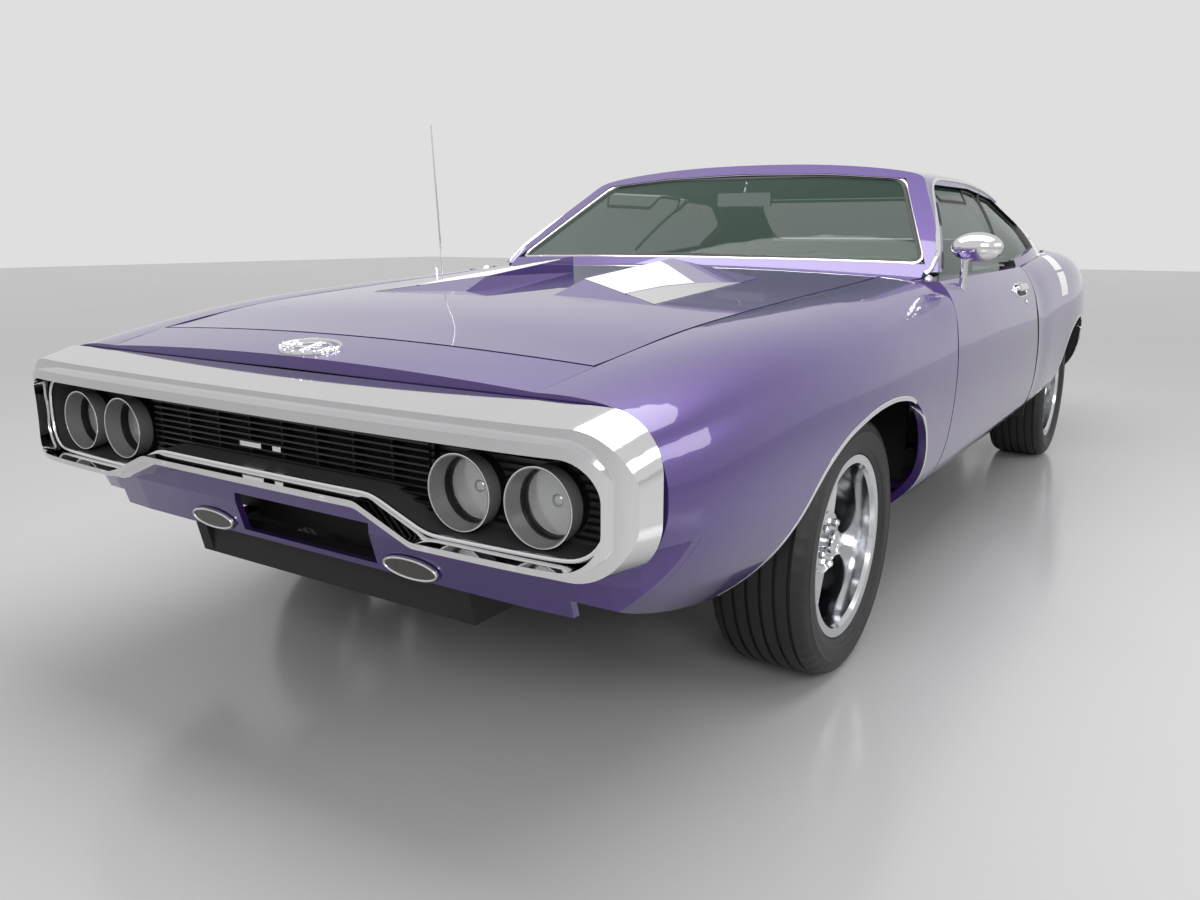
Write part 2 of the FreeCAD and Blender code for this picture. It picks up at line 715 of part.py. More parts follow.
def lamp_places():
    return [(side * y, LAMP_Z) for side in (1, -1) for y in (LAMP_OUTER_Y, LAMP_INNER_Y)]


def mouth_funnel(thick):
    """The inside of the mouth, narrowing towards the grille."""
    wires = []
    for x, shrink in ((SURROUND_X - SEAM, LINER_IN), (LINER_FRONT_X, SEAT_GAP)):
        grow = shrink + thick
        wires.append(kinked(MOUTH_HALF - grow, MOUTH_TOP - grow, MOUTH_LOW + grow, MOUTH_KINK + grow,
            MOUTH_R, x))
    return Part.makeLoft(wires, True, True)


def lamp_surround():
    plane = mouth(SURROUND_X - SURROUND_THICK, SURROUND_X, SEAT_GAP)
    for y, z in lamp_places():
        plane = plane.cut(tube(SURROUND_X - OVERRUN, y, z, BEZEL_BACK_RADIUS, OVERRUN * 2, V(1, 0, 0)))
    window = block(0, SURROUND_X, SEAT_GAP - GRILLE_HALF, GRILLE_HALF - SEAT_GAP, 0, HEIGHT)
    plane = plane.cut(window.common(mouth_funnel(LINER_THICK + SEAM)))
    liner = mouth_funnel(0).cut(mouth_funnel(LINER_THICK))
    liner = liner.common(bow_plan(BUMPER_BACK_X - OVERRUN, LINER_FRONT_X, BUMPER_BACK[0], 0, HEIGHT))
    return plane.fuse(liner).removeSplitter()


def bezel(y, z):
    outer = Part.makeCone(BEZEL_BACK_RADIUS, BEZEL_RADIUS, BEZEL_LENGTH, V(SURROUND_X, y, z), V(1, 0, 0))
    back = BEZEL_BACK_RADIUS - BEZEL_WALL
    front = BEZEL_RADIUS - BEZEL_WALL
    return outer.cut(Part.makeCone(back, front, BEZEL_LENGTH, V(SURROUND_X, y, z), V(1, 0, 0)))


def lens(y, z):
    disc = tube(SURROUND_X, y, z, LENS_RADIUS, LENS_EDGE, V(1, 0, 0))
    ball_radius = (LENS_RADIUS ** 2 + LENS_DOME ** 2) / (2 * LENS_DOME)
    ball = Part.makeSphere(ball_radius, V(SURROUND_X + LENS_EDGE + LENS_DOME - ball_radius, y, z))
    dome = ball.common(tube(SURROUND_X, y, z, LENS_RADIUS, LENS_EDGE + LENS_DOME, V(1, 0, 0)))
    return disc.fuse(dome).removeSplitter()


def grille():
    bars = []
    z = MOUTH_LOW + BAR_PITCH * 2
    while z < MOUTH_TOP - LINER_IN - BAR_THICK * 2:
        bars.append(block(GRILLE_BACK_X, GRILLE_BACK_X + GRILLE_DEPTH, -GRILLE_HALF, GRILLE_HALF, z,
            z + BAR_THICK))
        z += BAR_PITCH
    for i in range(POST_COUNT):
        y = -GRILLE_HALF + (2 * GRILLE_HALF - POST_THICK) * i / (POST_COUNT - 1)
        bars.append(block(GRILLE_BACK_X, GRILLE_BACK_X + GRILLE_DEPTH / 2, y, y + POST_THICK,
            MOUTH_LOW, MOUTH_TOP))
    lattice = bars[0].fuse(bars[1:])
    return lattice.common(mouth_funnel(LINER_THICK + SEAT_GAP)).removeSplitter()


# Valance below the loop, with its lamps
VALANCE_TOP = 560.0
VALANCE_PROFILE = ((2438.0, 560.0), (2436.0, 470.0), (2412.0, 386.0), (2394.0, 386.0), (2420.0, 470.0),
    (2422.0, 560.0))
VALANCE_BOW = ((0.0, 0.0), (420.0, 0.0), (600.0, 2.0), (720.0, 10.0), (790.0, 22.0), (840.0, 38.0),
    (880.0, 58.0), (930.0, 90.0))
PARKING_Y = 318.0
PARKING_Z = 410.0
PARKING_LONG = 74.0
PARKING_SHORT = 27.0
PARKING_DEPTH = 34.0
INTAKE_HALF = 215.0
INTAKE_LOW = 400.0
INTAKE_HIGH = 492.0


def oval(y, grow, depth):
    ring = Part.Ellipse(V(0, 0, 0), PARKING_LONG + grow, PARKING_SHORT + grow).toShape()
    face = Part.Face(Part.Wire([ring]))
    face.rotate(V(0, 0, 0), V(0, 0, 1), 90)
    face.rotate(V(0, 0, 0), V(0, 1, 0), 90)
    face.translate(V(BUMPER_BACK_X - depth, y, PARKING_Z))
    return face.extrude(V(depth, 0, 0))


def bowed(profile):
    """A bar across the car with its ends swept back, from a profile of places and heights."""
    ends = [(-y, back) for y, back in reversed(VALANCE_BOW[1:])] + list(VALANCE_BOW)
    return Part.makeLoft([outline([V(x - back, y, z) for x, z in profile]) for y, back in ends], True, True)


def valance_front():
    """What the fender must leave free for the valance."""
    rear = [(x - SEAT_GAP, z) for x, z in reversed(VALANCE_PROFILE[3:])]
    low = rear[-1][0]
    return bowed([(LENGTH, VALANCE_TOP + SEAT_GAP), (rear[0][0],
        VALANCE_TOP + SEAT_GAP)] + rear[1:] + [(low, 0.0), (LENGTH, 0.0)])


def side_solid(x0, x1):
    """The body between two places, filled to its middle."""
    wires = []
    for x in stations(x0, x1):
        outer = section(SIDE_ROWS, x)
        whole = outer + [V(p.x, -p.y, p.z) for p in reversed(outer)]
        left = curve(outer)
        right = curve(whole[len(outer):])
        top = Part.makeLine(outer[-1], whole[len(outer)])
        wires.append(Part.Wire([left, top, right, Part.makeLine(whole[-1], whole[0])]))
    return Part.makeLoft(wires, True, False)


def valance():
    middle = block(0, LENGTH, -KINK_OUT_Y * 1.5, KINK_OUT_Y * 1.5, 0, HEIGHT)
    solid = side_solid(VALANCE_PROFILE[0][0] + GAP, FRONT_AXLE_X + ARCH_RADIUS)
    panel = bowed(VALANCE_PROFILE)
    panel = panel.common(solid).fuse(panel.common(middle)).removeSplitter()
    for side in (1, -1):
        panel = panel.cut(oval(side * PARKING_Y, SEAT_GAP, OVERRUN * 2))
    return panel.cut(block(0, LENGTH, -INTAKE_HALF, INTAKE_HALF, INTAKE_LOW, INTAKE_HIGH))


def parking_lamp(side):
    lamp = oval(side * PARKING_Y, 0, PARKING_DEPTH * 2)
    slab = prism_y([(x + GAP, z) for x, z in VALANCE_PROFILE[:3]] + [(x - GAP, z) for x,
        z in VALANCE_PROFILE[3:]], -WIDTH, WIDTH)
    return lamp.common(slab)


# Floor, frame rails and wheelhouses
FLOOR_Z = 265.0
FLOOR_THICK = 14.0
FLOOR_HALF = 800.0
KICK_FRONT_X = -760.0
KICK_REAR_X = -940.0
KICK_Z = 450.0
TUNNEL_RADIUS = 140.0
TUNNEL_WALL = 8.0
RAIL_INNER_Y = 375.0
RAIL_OUTER_Y = 440.0
RAIL_LOW = 300.0
RAIL_HIGH = 380.0
BRACKET_WIDE = 38.0
HOUSE_INNER_Y = 560.0
HOUSE_OUTER_Y = 880.0
HOUSE_WALL = 8.0
FIREWALL_X = 840.0
FIREWALL_THICK = 8.0
FLOOR_END_X = -2462.0
SILL_WALL = 24.0
SILL_REAR_X = -340.0


def kick_z(x):
    share = (KICK_FRONT_X - x) / (KICK_FRONT_X - KICK_REAR_X)
    return FLOOR_Z + share * (KICK_Z - FLOOR_Z)


def floor():
    x0 = FIREWALL_X
    pan = block(KICK_FRONT_X, x0, -FLOOR_HALF, FLOOR_HALF, FLOOR_Z, FLOOR_Z + FLOOR_THICK)
    t = FLOOR_THICK
    kick = prism_y(((KICK_FRONT_X, FLOOR_Z), (KICK_FRONT_X, FLOOR_Z + t), (KICK_REAR_X, KICK_Z + t),
        (KICK_REAR_X, KICK_Z)), -FLOOR_HALF, FLOOR_HALF)
    deck = block(FLOOR_END_X, KICK_REAR_X, -FLOOR_HALF, FLOOR_HALF, KICK_Z, KICK_Z + t)
    base = pan.fuse([kick, deck])
    tunnel = tube(KICK_REAR_X, 0, FLOOR_Z, TUNNEL_RADIUS, x0 - KICK_REAR_X, V(1, 0, 0))
    bore = tube(KICK_REAR_X - OVERRUN, 0, FLOOR_Z, TUNNEL_RADIUS - TUNNEL_WALL,
        x0 - KICK_REAR_X + OVERRUN * 2, V(1, 0, 0))
    under = block(KICK_REAR_X - OVERRUN, x0 + OVERRUN, -FLOOR_HALF, FLOOR_HALF, -HEIGHT, FLOOR_Z)
    above_kick = prism_y(((KICK_FRONT_X, HEIGHT), (KICK_FRONT_X, FLOOR_Z), (KICK_REAR_X, KICK_Z),
        (KICK_REAR_X - OVERRUN, KICK_Z), (KICK_REAR_X - OVERRUN, HEIGHT)), -HALF_WIDTH, HALF_WIDTH)
    base = base.fuse(tunnel.cut(under).cut(above_kick)).cut(bore)
    house = arch_prism(REAR_AXLE_X, REAR_ARCH_SHARE, HOUSE_WALL, HOUSE_INNER_Y, HOUSE_OUTER_Y)
    hollow = arch_prism(REAR_AXLE_X, REAR_ARCH_SHARE, 0, HOUSE_INNER_Y + HOUSE_WALL, WIDTH)
    sill = block(SILL_REAR_X, x0, FLOOR_HALF - SILL_WALL, FLOOR_HALF, FLOOR_Z, SILL_TOP)
    base = base.fuse([house, flip(house), sill, flip(sill)]).cut(hollow).cut(flip(hollow))
    for side in (1, -1):
        y0 = min(side * (HOUSE_INNER_Y - OVERRUN), side * HALF_WIDTH)
        base = base.cut(block(-HALF_LENGTH, HALF_LENGTH, y0, y0 + HALF_WIDTH - HOUSE_INNER_Y + OVERRUN,
            -HEIGHT, FLOOR_Z))
        y1 = min(side * HOUSE_INNER_Y, side * (HOUSE_INNER_Y + HOUSE_WALL))
        open_x = REAR_AXLE_X - ARCH_RADIUS
        base = base.cut(block(open_x, KICK_REAR_X, y1, y1 + HOUSE_WALL, -HEIGHT, KICK_Z))
    return base


def trim_rear(base, quarter_left):
    base = base.cut(quarter_left).cut(flip(quarter_left))
    return max(base.Solids, key=lambda s: s.Volume)


RAIL_FRONT_X = 2373.7
CROSS_LOW = 225.0
APRON_Y = 440.0
APRON_THICK = 6.0
APRON_TOP = 800.0
APRON_FRONT_X = 2230.0


def frame_rails():
    parts = []
    for side in (1, -1):
        y0 = RAIL_INNER_Y if side > 0 else -RAIL_OUTER_Y
        parts.append(block(FIREWALL_X + FIREWALL_THICK, RAIL_FRONT_X, y0,
            y0 + RAIL_OUTER_Y - RAIL_INNER_Y, RAIL_LOW, RAIL_HIGH))
        a0 = APRON_Y if side > 0 else -APRON_Y - APRON_THICK
        parts.append(block(FIREWALL_X + FIREWALL_THICK, APRON_FRONT_X, a0, a0 + APRON_THICK, RAIL_LOW,
            APRON_TOP))
    parts.append(block(RAIL_FRONT_X - OVERRUN, RAIL_FRONT_X, -RAIL_OUTER_Y, RAIL_OUTER_Y, RAIL_LOW,
        RAIL_HIGH))
    rear = [(x - SEAT_GAP, z) for x, z in VALANCE_PROFILE[3:5]]
    x0 = RAIL_FRONT_X - OVERRUN
    bracket = prism_y(((x0, RAIL_LOW), (RAIL_FRONT_X, RAIL_LOW), rear[0], rear[1], (x0, rear[1][1])),
        RAIL_OUTER_Y - BRACKET_WIDE, RAIL_OUTER_Y)
    parts += [bracket, flip(bracket)]
    return parts[0].fuse(parts[1:]).removeSplitter()


# Posts that carry the doors, on both ends of the firewall
POST_X = DOOR_FRONT_X + GAP
POST_REACH = 18.0
POST_INNER_Y = 745.0
POST_OUTER_Y = 886.0
POST_LOW = 374.0
WALL_HALF = 778.0
POST_HIGH = 820.0
STRAP_X = 870.0
STRAP_INNER_Y = 872.0
STRAP_OUTER_Y = 918.0
STRAP_LOWS = (412.0, 712.0)
STRAP_HIGH = 50.0
WALL_TOP = 890.0


def firewall():
    wall = block(FIREWALL_X, FIREWALL_X + FIREWALL_THICK, -WALL_HALF, WALL_HALF, FLOOR_Z, POST_HIGH)
    upper = block(FIREWALL_X, FIREWALL_X + FIREWALL_THICK, -POST_INNER_Y, POST_INNER_Y, POST_HIGH, WALL_TOP)
    end_x = POST_X + POST_REACH
    left = [block(POST_X, end_x, POST_INNER_Y, POST_OUTER_Y, POST_LOW, POST_HIGH)]
    left.append(block(FIREWALL_X, end_x, POST_INNER_Y, WALL_HALF, POST_LOW, POST_HIGH))
    for z in STRAP_LOWS:
        strap = block(STRAP_X, end_x, STRAP_INNER_Y, STRAP_OUTER_Y, z, z + STRAP_HIGH)
        left.append(strap.cut(door_outline(SEAT_GAP, 0)))
    parts = [upper] + left + [flip(p) for p in left]
    bore = tube(FIREWALL_X - OVERRUN, 0, FLOOR_Z, TUNNEL_RADIUS, OVERRUN * 3, V(1, 0, 0))
    return wall.fuse(parts).cut(bore).removeSplitter()


RADIATOR_X = 2236.0
RADIATOR_THICK = 50.0
RADIATOR_HALF = 330.0
RADIATOR_TOP = 745.0
SUPPORT_HALF = 780.0


def radiator():
    core = block(RADIATOR_X, RADIATOR_X + RADIATOR_THICK, -RADIATOR_HALF, RADIATOR_HALF, RAIL_HIGH,
        RADIATOR_TOP)
    wings = block(RADIATOR_X, RADIATOR_X + FIREWALL_THICK, -SUPPORT_HALF, SUPPORT_HALF,
        RAIL_HIGH + SEAT_GAP, RADIATOR_TOP)
    return core.fuse(wings).removeSplitter()


# Engine and gearbox as one plain block
ENGINE_FRONT_X = 1820.0
ENGINE_REAR_X = 1080.0
ENGINE_HALF_LOW = 160.0
ENGINE_HALF_HIGH = 300.0
ENGINE_LOW = 300.0
ENGINE_MID = 470.0
ENGINE_HIGH = 800.0
GEARBOX_RADIUS = 105.0
GEARBOX_Z = 270.0
GEARBOX_REAR_X = 250.0


def engine():
    half = ((ENGINE_HALF_LOW, ENGINE_LOW), (ENGINE_HALF_HIGH, ENGINE_MID), (ENGINE_HALF_HIGH,
        ENGINE_HIGH - OVERRUN), (ENGINE_HALF_LOW, ENGINE_HIGH))
    pairs = list(half) + [(-y, z) for y, z in reversed(half)]
    body = prism_x(pairs, ENGINE_REAR_X, ENGINE_FRONT_X)
    bell = Part.makeCone(GEARBOX_RADIUS, TUNNEL_RADIUS, ENGINE_REAR_X - FIREWALL_X, V(FIREWALL_X, 0,
        GEARBOX_Z), V(1, 0, 0))
    box = tube(GEARBOX_REAR_X, 0, GEARBOX_Z, GEARBOX_RADIUS - TUNNEL_WALL, FIREWALL_X - GEARBOX_REAR_X,
        V(1, 0, 0))
    mount = block(ENGINE_REAR_X + OVERRUN * 3, ENGINE_REAR_X + OVERRUN * 5, -RAIL_INNER_Y,
        RAIL_INNER_Y, RAIL_LOW, RAIL_HIGH)
    return body.fuse([bell, box, mount]).removeSplitter()


# Front suspension: crossmember, arms and knuckles
KINGPIN_Y = 712.0
KNUCKLE_LOW = 205.0
KNUCKLE_HIGH = 440.0
KNUCKLE_HALF = 24.0
ARM_THICK = 16.0
ARM_HALF = 26.0
DISC_RADIUS = 112.0
DISC_Y = 740.0
DISC_THICK = 22.0
SPINDLE_END_Y = 830.0


def suspension():
    x = FRONT_AXLE_X
    beam = block(x - OVERRUN, x + OVERRUN, -RAIL_INNER_Y, RAIL_INNER_Y, CROSS_LOW, RAIL_LOW)
    parts = [beam]
    for side in (1, -1):
        a = min(side * RAIL_INNER_Y, side * (KINGPIN_Y + ARM_HALF))
        span = KINGPIN_Y + ARM_HALF - RAIL_INNER_Y
        low_z = KNUCKLE_LOW - SEAT_GAP - ARM_THICK
        parts.append(block(x - ARM_HALF, x + ARM_HALF, a, a + span, low_z, low_z + ARM_THICK))
        parts.append(block(x - ARM_HALF, x + ARM_HALF, min(side * RAIL_INNER_Y,
            side * (RAIL_INNER_Y - ARM_HALF)), max(side * RAIL_INNER_Y,
            side * (RAIL_INNER_Y - ARM_HALF)), low_z, RAIL_LOW))
    return parts[0].fuse(parts[1:]).removeSplitter()


def upper_arm():
    x = FRONT_AXLE_X
    z = KNUCKLE_HIGH + SEAT_GAP
    y0 = APRON_Y + APRON_THICK
    return block(x - ARM_HALF, x + ARM_HALF, y0, KINGPIN_Y + ARM_HALF, z, z + ARM_THICK)


def knuckle():
    x = FRONT_AXLE_X
    z = TYRE_RADIUS
    upright = block(x - KNUCKLE_HALF, x + KNUCKLE_HALF, KINGPIN_Y - KNUCKLE_HALF, DISC_Y, KNUCKLE_LOW,
        KNUCKLE_HIGH)
    disc = tube(x, DISC_Y, z, DISC_RADIUS, DISC_THICK, V(0, 1, 0))
    spindle = tube(x, DISC_Y, z, SPINDLE_RADIUS, SPINDLE_END_Y - DISC_Y, V(0, 1, 0))
    return upright.fuse([disc, spindle]).removeSplitter()


# Rear axle with its springs and the driveshaft
AXLE_TUBE_RADIUS = 40.0
DIFF_RADIUS = 125.0
DRUM_RADIUS = 140.0
DRUM_Y = 700.0
DRUM_THICK = 62.0
SPRING_Y = 500.0
SPRING_HALF = 30.0
SPRING_THICK = 36.0
SHAFT_RADIUS = 38.0
SPRING_PATH = ((-840.0, 262.0), (-1130.0, 262.0), (-1391.0, 246.0), (-1700.0, 268.0), (-2080.0, 414.0))


def rear_axle():
    x = REAR_AXLE_X
    z = TYRE_RADIUS
    parts = [tube(x, -DRUM_Y, z, AXLE_TUBE_RADIUS, DRUM_Y * 2, V(0, 1, 0))]
    parts.append(Part.makeSphere(DIFF_RADIUS, V(x, 0, z)))
    for side in (1, -1):
        way = V(0, side, 0)
        parts.append(tube(x, side * DRUM_Y, z, DRUM_RADIUS, DRUM_THICK, way))
        parts.append(tube(x, side * DRUM_Y, z, SPINDLE_RADIUS, SPINDLE_END_Y - DRUM_Y, way))
        top = [(px, pz + SPRING_THICK) for px, pz in reversed(SPRING_PATH)]
        y = side * SPRING_Y
        parts.append(prism_y(list(SPRING_PATH) + top, y - SPRING_HALF, y + SPRING_HALF))
        end_x, end_z = SPRING_PATH[-1]
        parts.append(block(end_x, end_x + OVERRUN, y - SPRING_HALF, y + SPRING_HALF,
            end_z - OVERRUN / 2, KICK_Z))
        front_x, front_z = SPRING_PATH[0]
        parts.append(block(front_x - OVERRUN / 2, front_x, y - SPRING_HALF, y + SPRING_HALF, front_z,
            kick_z(front_x) - SEAT_GAP))
        parts.append(block(x - OVERRUN, x + OVERRUN, y - SPRING_HALF, y + SPRING_HALF,
            SPRING_PATH[2][1], z))
    shaft_x = GEARBOX_REAR_X - SEAT_GAP
    parts.append(tube(x, 0, z, SHAFT_RADIUS, shaft_x - x, V(1, 0, 0)))
    return parts[0].fuse(parts[1:]).removeSplitter()


# Exhaust: a pipe with a muffler on each side
PIPE_RADIUS = 26.0
PIPE_PATH = ((1150.0, 326.3, 600.0), (1150.0, 326.3, 190.0), (-900.0, 326.3, 190.0), (-1120.0, 395.0,
    395.0), (-1620.0, 395.0, 395.0), (-1860.0, 430.0, 330.0), (-2540.0, 430.0, 330.0))
MUFFLER_FRONT_X = 150.0
MUFFLER_REAR_X = -430.0
MUFFLER_HALF = 100.0
MUFFLER_HIGH = 34.0
MUFFLER_ROUND = 30.0
HANGER_HALF = 20.0


def pipe(path, radius):
    parts = []
    for start, end in zip(path[:-1], path[1:]):
        a = V(*start)
        b = V(*end)
        parts.append(Part.makeCylinder(radius, (b - a).Length, a, b - a))
        parts.append(Part.makeSphere(radius, b))
    parts.pop()
    return parts[0].fuse(parts[1:])


def exhaust_side():
    run = pipe(PIPE_PATH, PIPE_RADIUS)
    x, y, z = PIPE_PATH[1]
    can = block(MUFFLER_REAR_X, MUFFLER_FRONT_X, y - MUFFLER_HALF, y + MUFFLER_HALF, z - MUFFLER_HIGH,
        z + MUFFLER_HIGH)
    can = can.makeFillet(MUFFLER_ROUND,
        [e for e in can.Edges if abs(e.Vertexes[0].X - e.Vertexes[1].X) > MUFFLER_HALF])
    mid_x = (MUFFLER_FRONT_X + MUFFLER_REAR_X) / 2
    hanger = block(mid_x - HANGER_HALF, mid_x + HANGER_HALF, y - HANGER_HALF, y + HANGER_HALF, z,
        FLOOR_Z - SEAT_GAP)
    return run.fuse([can, hanger])


TANK_FRONT_X = -1730.0
TANK_REAR_X = -2360.0
TANK_HALF = 330.0
TANK_LOW = 262.0
TANK_ROUND = 40.0


def fuel_tank():
    tank = block(TANK_REAR_X, TANK_FRONT_X, -TANK_HALF, TANK_HALF, TANK_LOW, KICK_Z - SEAT_GAP)
    edges = []
    for edge in tank.Edges:
        upright = abs(edge.Vertexes[0].Z - edge.Vertexes[1].Z) > TANK_ROUND
        if upright or max(v.Z for v in edge.Vertexes) < KICK_Z - GAP:
            edges.append(edge)
    return tank.makeFillet(TANK_ROUND, edges)


# Tail panel, tail lamps and rear bumper
TAIL_THICK = 14.0
TAIL_SPAN = ((735.0, 400.0), (812.0, 480.0), (845.0, 560.0), (855.0, 640.0), (838.0, 760.0), (780.0,
    820.0), (640.0, 850.0))
PLATE_Z = 690.0
PLATE_WIDE = 177.8
PLATE_TALL = 120.65
PLATE_HOLE_RADIUS = 3.5
TAIL_LAMP_IN = 390.0
TAIL_LAMP_OUT = 790.0
TAIL_LAMP_LOW = 655.0
TAIL_LAMP_HIGH = 745.0
TAIL_LAMP_DEPTH = 22.0
REAR_BUMPER_X = -2580.0
REAR_BUMPER_BACK_X = -2492.0
REAR_BUMPER_HALF = 880.0
REAR_BUMPER_LOW = 470.0
REAR_BUMPER_HIGH = 615.0


def tail_panel():
    span = list(TAIL_SPAN) + [(-y, z) for y, z in reversed(TAIL_SPAN)]
    panel = prism_x(span, TAIL_PANEL_X - TAIL_THICK, TAIL_PANEL_X)
    for y in (-PLATE_WIDE / 2, PLATE_WIDE / 2):
        for z in (PLATE_Z - PLATE_TALL / 2, PLATE_Z + PLATE_TALL / 2):
            panel = panel.cut(tube(TAIL_PANEL_X - OVERRUN, y, z, PLATE_HOLE_RADIUS, OVERRUN * 2, V(1,
                0, 0)))
    return panel


def tail_lamps():
    parts = []
    mid = (TAIL_LAMP_IN + TAIL_LAMP_OUT) / 2
    x1 = TAIL_PANEL_X - TAIL_THICK - SEAT_GAP
    for side in (1, -1):
        for y0, y1 in ((TAIL_LAMP_IN, mid - GAP / 2), (mid + GAP / 2, TAIL_LAMP_OUT)):
            low = min(side * y0, side * y1)
            parts.append(block(x1 - TAIL_LAMP_DEPTH, x1, low, low + y1 - y0, TAIL_LAMP_LOW, TAIL_LAMP_HIGH))
    return Part.makeCompound(parts)


def bumper_rear():
    bar = bow_plan(-REAR_BUMPER_BACK_X, -REAR_BUMPER_X, REAR_BUMPER_HALF, REAR_BUMPER_LOW, REAR_BUMPER_HIGH)
    bar = bar.mirror(V(0, 0, 0), V(1, 0, 0))
    stub = block(REAR_BUMPER_BACK_X, TAIL_PANEL_X - TAIL_THICK - SEAT_GAP, -RAIL_OUTER_Y, RAIL_OUTER_Y,
        REAR_BUMPER_LOW + GAP * 4, REAR_BUMPER_HIGH - GAP * 4)
    return bar.fuse(stub).removeSplitter()


# Glass
GLASS_SET = 8.0
GLASS_THICK = 6.0


def shield_glass():
    sheet = cabin(PILLAR / 4, GLASS_SET).cut(cabin(PILLAR / 4, GLASS_SET + GLASS_THICK))
    return sheet.common(prism_x(SHIELD_OPENING, SHIELD_TOP_X - OVERRUN * 3, SHIELD_BASE_X + OVERRUN * 2))


def back_glass():
    sheet = cabin(PILLAR / 4, GLASS_SET).cut(cabin(PILLAR / 4, GLASS_SET + GLASS_THICK))
    return sheet.common(prism_x(BACK_OPENING, BACK_BASE_X - OVERRUN, BACK_TOP_X + OVERRUN * 3))


DIVISION_LOW = (-215.0, 900.0)
DIVISION_HIGH = (-560.0, 1260.0)
DOOR_GLASS = ((618.0, 920.0), (172.0, 1230.0), (-350.0, 1234.0), (-800.0, 1206.0), (-800.0, 920.0))


def side_sheet():
    sheet = cabin(GLASS_SET * 2, PILLAR / 4).cut(cabin(GLASS_SET * 2 + GLASS_THICK, PILLAR / 4))
    return sheet.common(block(-HALF_LENGTH, HALF_LENGTH, 0, HALF_WIDTH, BELT_HEIGHT - OVERRUN, HEIGHT))


def ahead_of_division(shift):
    (x0, z0), (x1, z1) = DIVISION_LOW, DIVISION_HIGH
    return prism_y(((x0 + shift, z0), (x1 + shift, z1), (HALF_LENGTH, z1), (HALF_LENGTH, z0)), 0,
        HALF_WIDTH)


def door_glass(sheet, door_left):
    pane = sheet.common(prism_y(DOOR_GLASS, 0, HALF_WIDTH)).common(ahead_of_division(0))
    pane = pane.cut(door_left)
    return max(pane.Solids, key=lambda s: s.Volume)


def quarter_glass(sheet):
    opening = prism_y(SIDE_WINDOW, 0, HALF_WIDTH)
    pane = sheet.common(opening).cut(ahead_of_division(-GAP))
    over_door = block(DOOR_REAR_X - GAP, HALF_LENGTH, 0, HALF_WIDTH, 0, BELT_HEIGHT + GAP * 2)
    return pane.cut(over_door)


# Cabin fittings
DASH_PROFILE = (
    (839.7, 850.0),
    (700.0, 866.0),
    (640.0, 871.0),
    (600.0, 880.0),
    (560.0, 850.0),
    (575.0, 752.0),
    (630.0, 725.0),
    (720.0, 725.0),
    (839.7, 760.0),
)
DASH_HALF = 790.0
SHELF_X = -1085.0
SHELF_Z = 945.0
SHELF_HALF = 700.0
SHELF_THICK = 10.0


def dash():
    return prism_y(DASH_PROFILE, -DASH_HALF, DASH_HALF)


def shelf():
    wall = block(SHELF_X - SHELF_THICK, SHELF_X, -HOUSE_INNER_Y, HOUSE_INNER_Y, KICK_Z + FLOOR_THICK,
        SHELF_Z)
    top = block(DECK_FRONT_X + GAP, SHELF_X, -SHELF_HALF, SHELF_HALF, SHELF_Z, SHELF_Z + SHELF_THICK)
    parts = [top]
    for side in (1, -1):
        x0 = DECK_FRONT_X - GAP - HINGE_LONG
        under = deck_z(DOOR_ROWS, x0, HINGE_Y + HINGE_WIDE) - HOOD_THICK - SEAT_GAP
        y0 = min(side * HINGE_Y, side * (HINGE_Y + HINGE_WIDE))
        parts.append(block(x0, DECK_FRONT_X + OVERRUN, y0, y0 + HINGE_WIDE, SHELF_Z, under))
    return wall.fuse(parts).removeSplitter()


SEAT_Y0 = 165.0
SEAT_Y1 = 700.0
SEAT_PROFILE = ((150.0, 290.0), (165.0, 430.0), (120.0, 455.0), (-300.0, 420.0), (-480.0, 960.0),
    (-560.0, 975.0), (-600.0, 930.0), (-430.0, 300.0))
REAR_SEAT_PROFILE = ((-690.0, 410.0), (-650.0, 500.0), (-700.0, 522.0), (-920.0, 492.0), (-1010.0,
    900.0), (-1070.0, 905.0), (-1080.0, 464.3), (-940.0, 464.3), (-885.0, 410.0))
REAR_SEAT_HALF = 545.0
SEAT_RUNNER = 60.0


def seat():
    cushion = prism_y(SEAT_PROFILE, SEAT_Y0, SEAT_Y1)
    edges = [e for e in cushion.Edges if abs(e.Vertexes[0].Y - e.Vertexes[1].Y) > SEAT_RUNNER]
    cushion = cushion.makeFillet(GAP * 2, edges)
    x0 = SEAT_PROFILE[-1][0] + OVERRUN
    x1 = SEAT_PROFILE[0][0] - OVERRUN
    base = block(x0, x1, SEAT_Y0 + SEAT_RUNNER, SEAT_Y1 - SEAT_RUNNER,
        FLOOR_Z + FLOOR_THICK + SEAT_GAP, SEAT_PROFILE[-1][1] + GAP)
    return cushion.fuse(base).removeSplitter()


def rear_seat():
    return prism_y(REAR_SEAT_PROFILE, -REAR_SEAT_HALF, REAR_SEAT_HALF)


# Steering wheel and column
COLUMN_Y = 385.0
WHEEL_HUB_X = 330.0
WHEEL_HUB_Z = 820.0
COLUMN_TILT = 24.0
COLUMN_RADIUS = 26.0
RIM_RING = 188.0
RIM_GRIP = 13.0
BOSS_RADIUS = 38.0
BOSS_LENGTH = 46.0


def column_way():
    t = math.radians(COLUMN_TILT)
    return V(math.cos(t), 0, -math.sin(t))


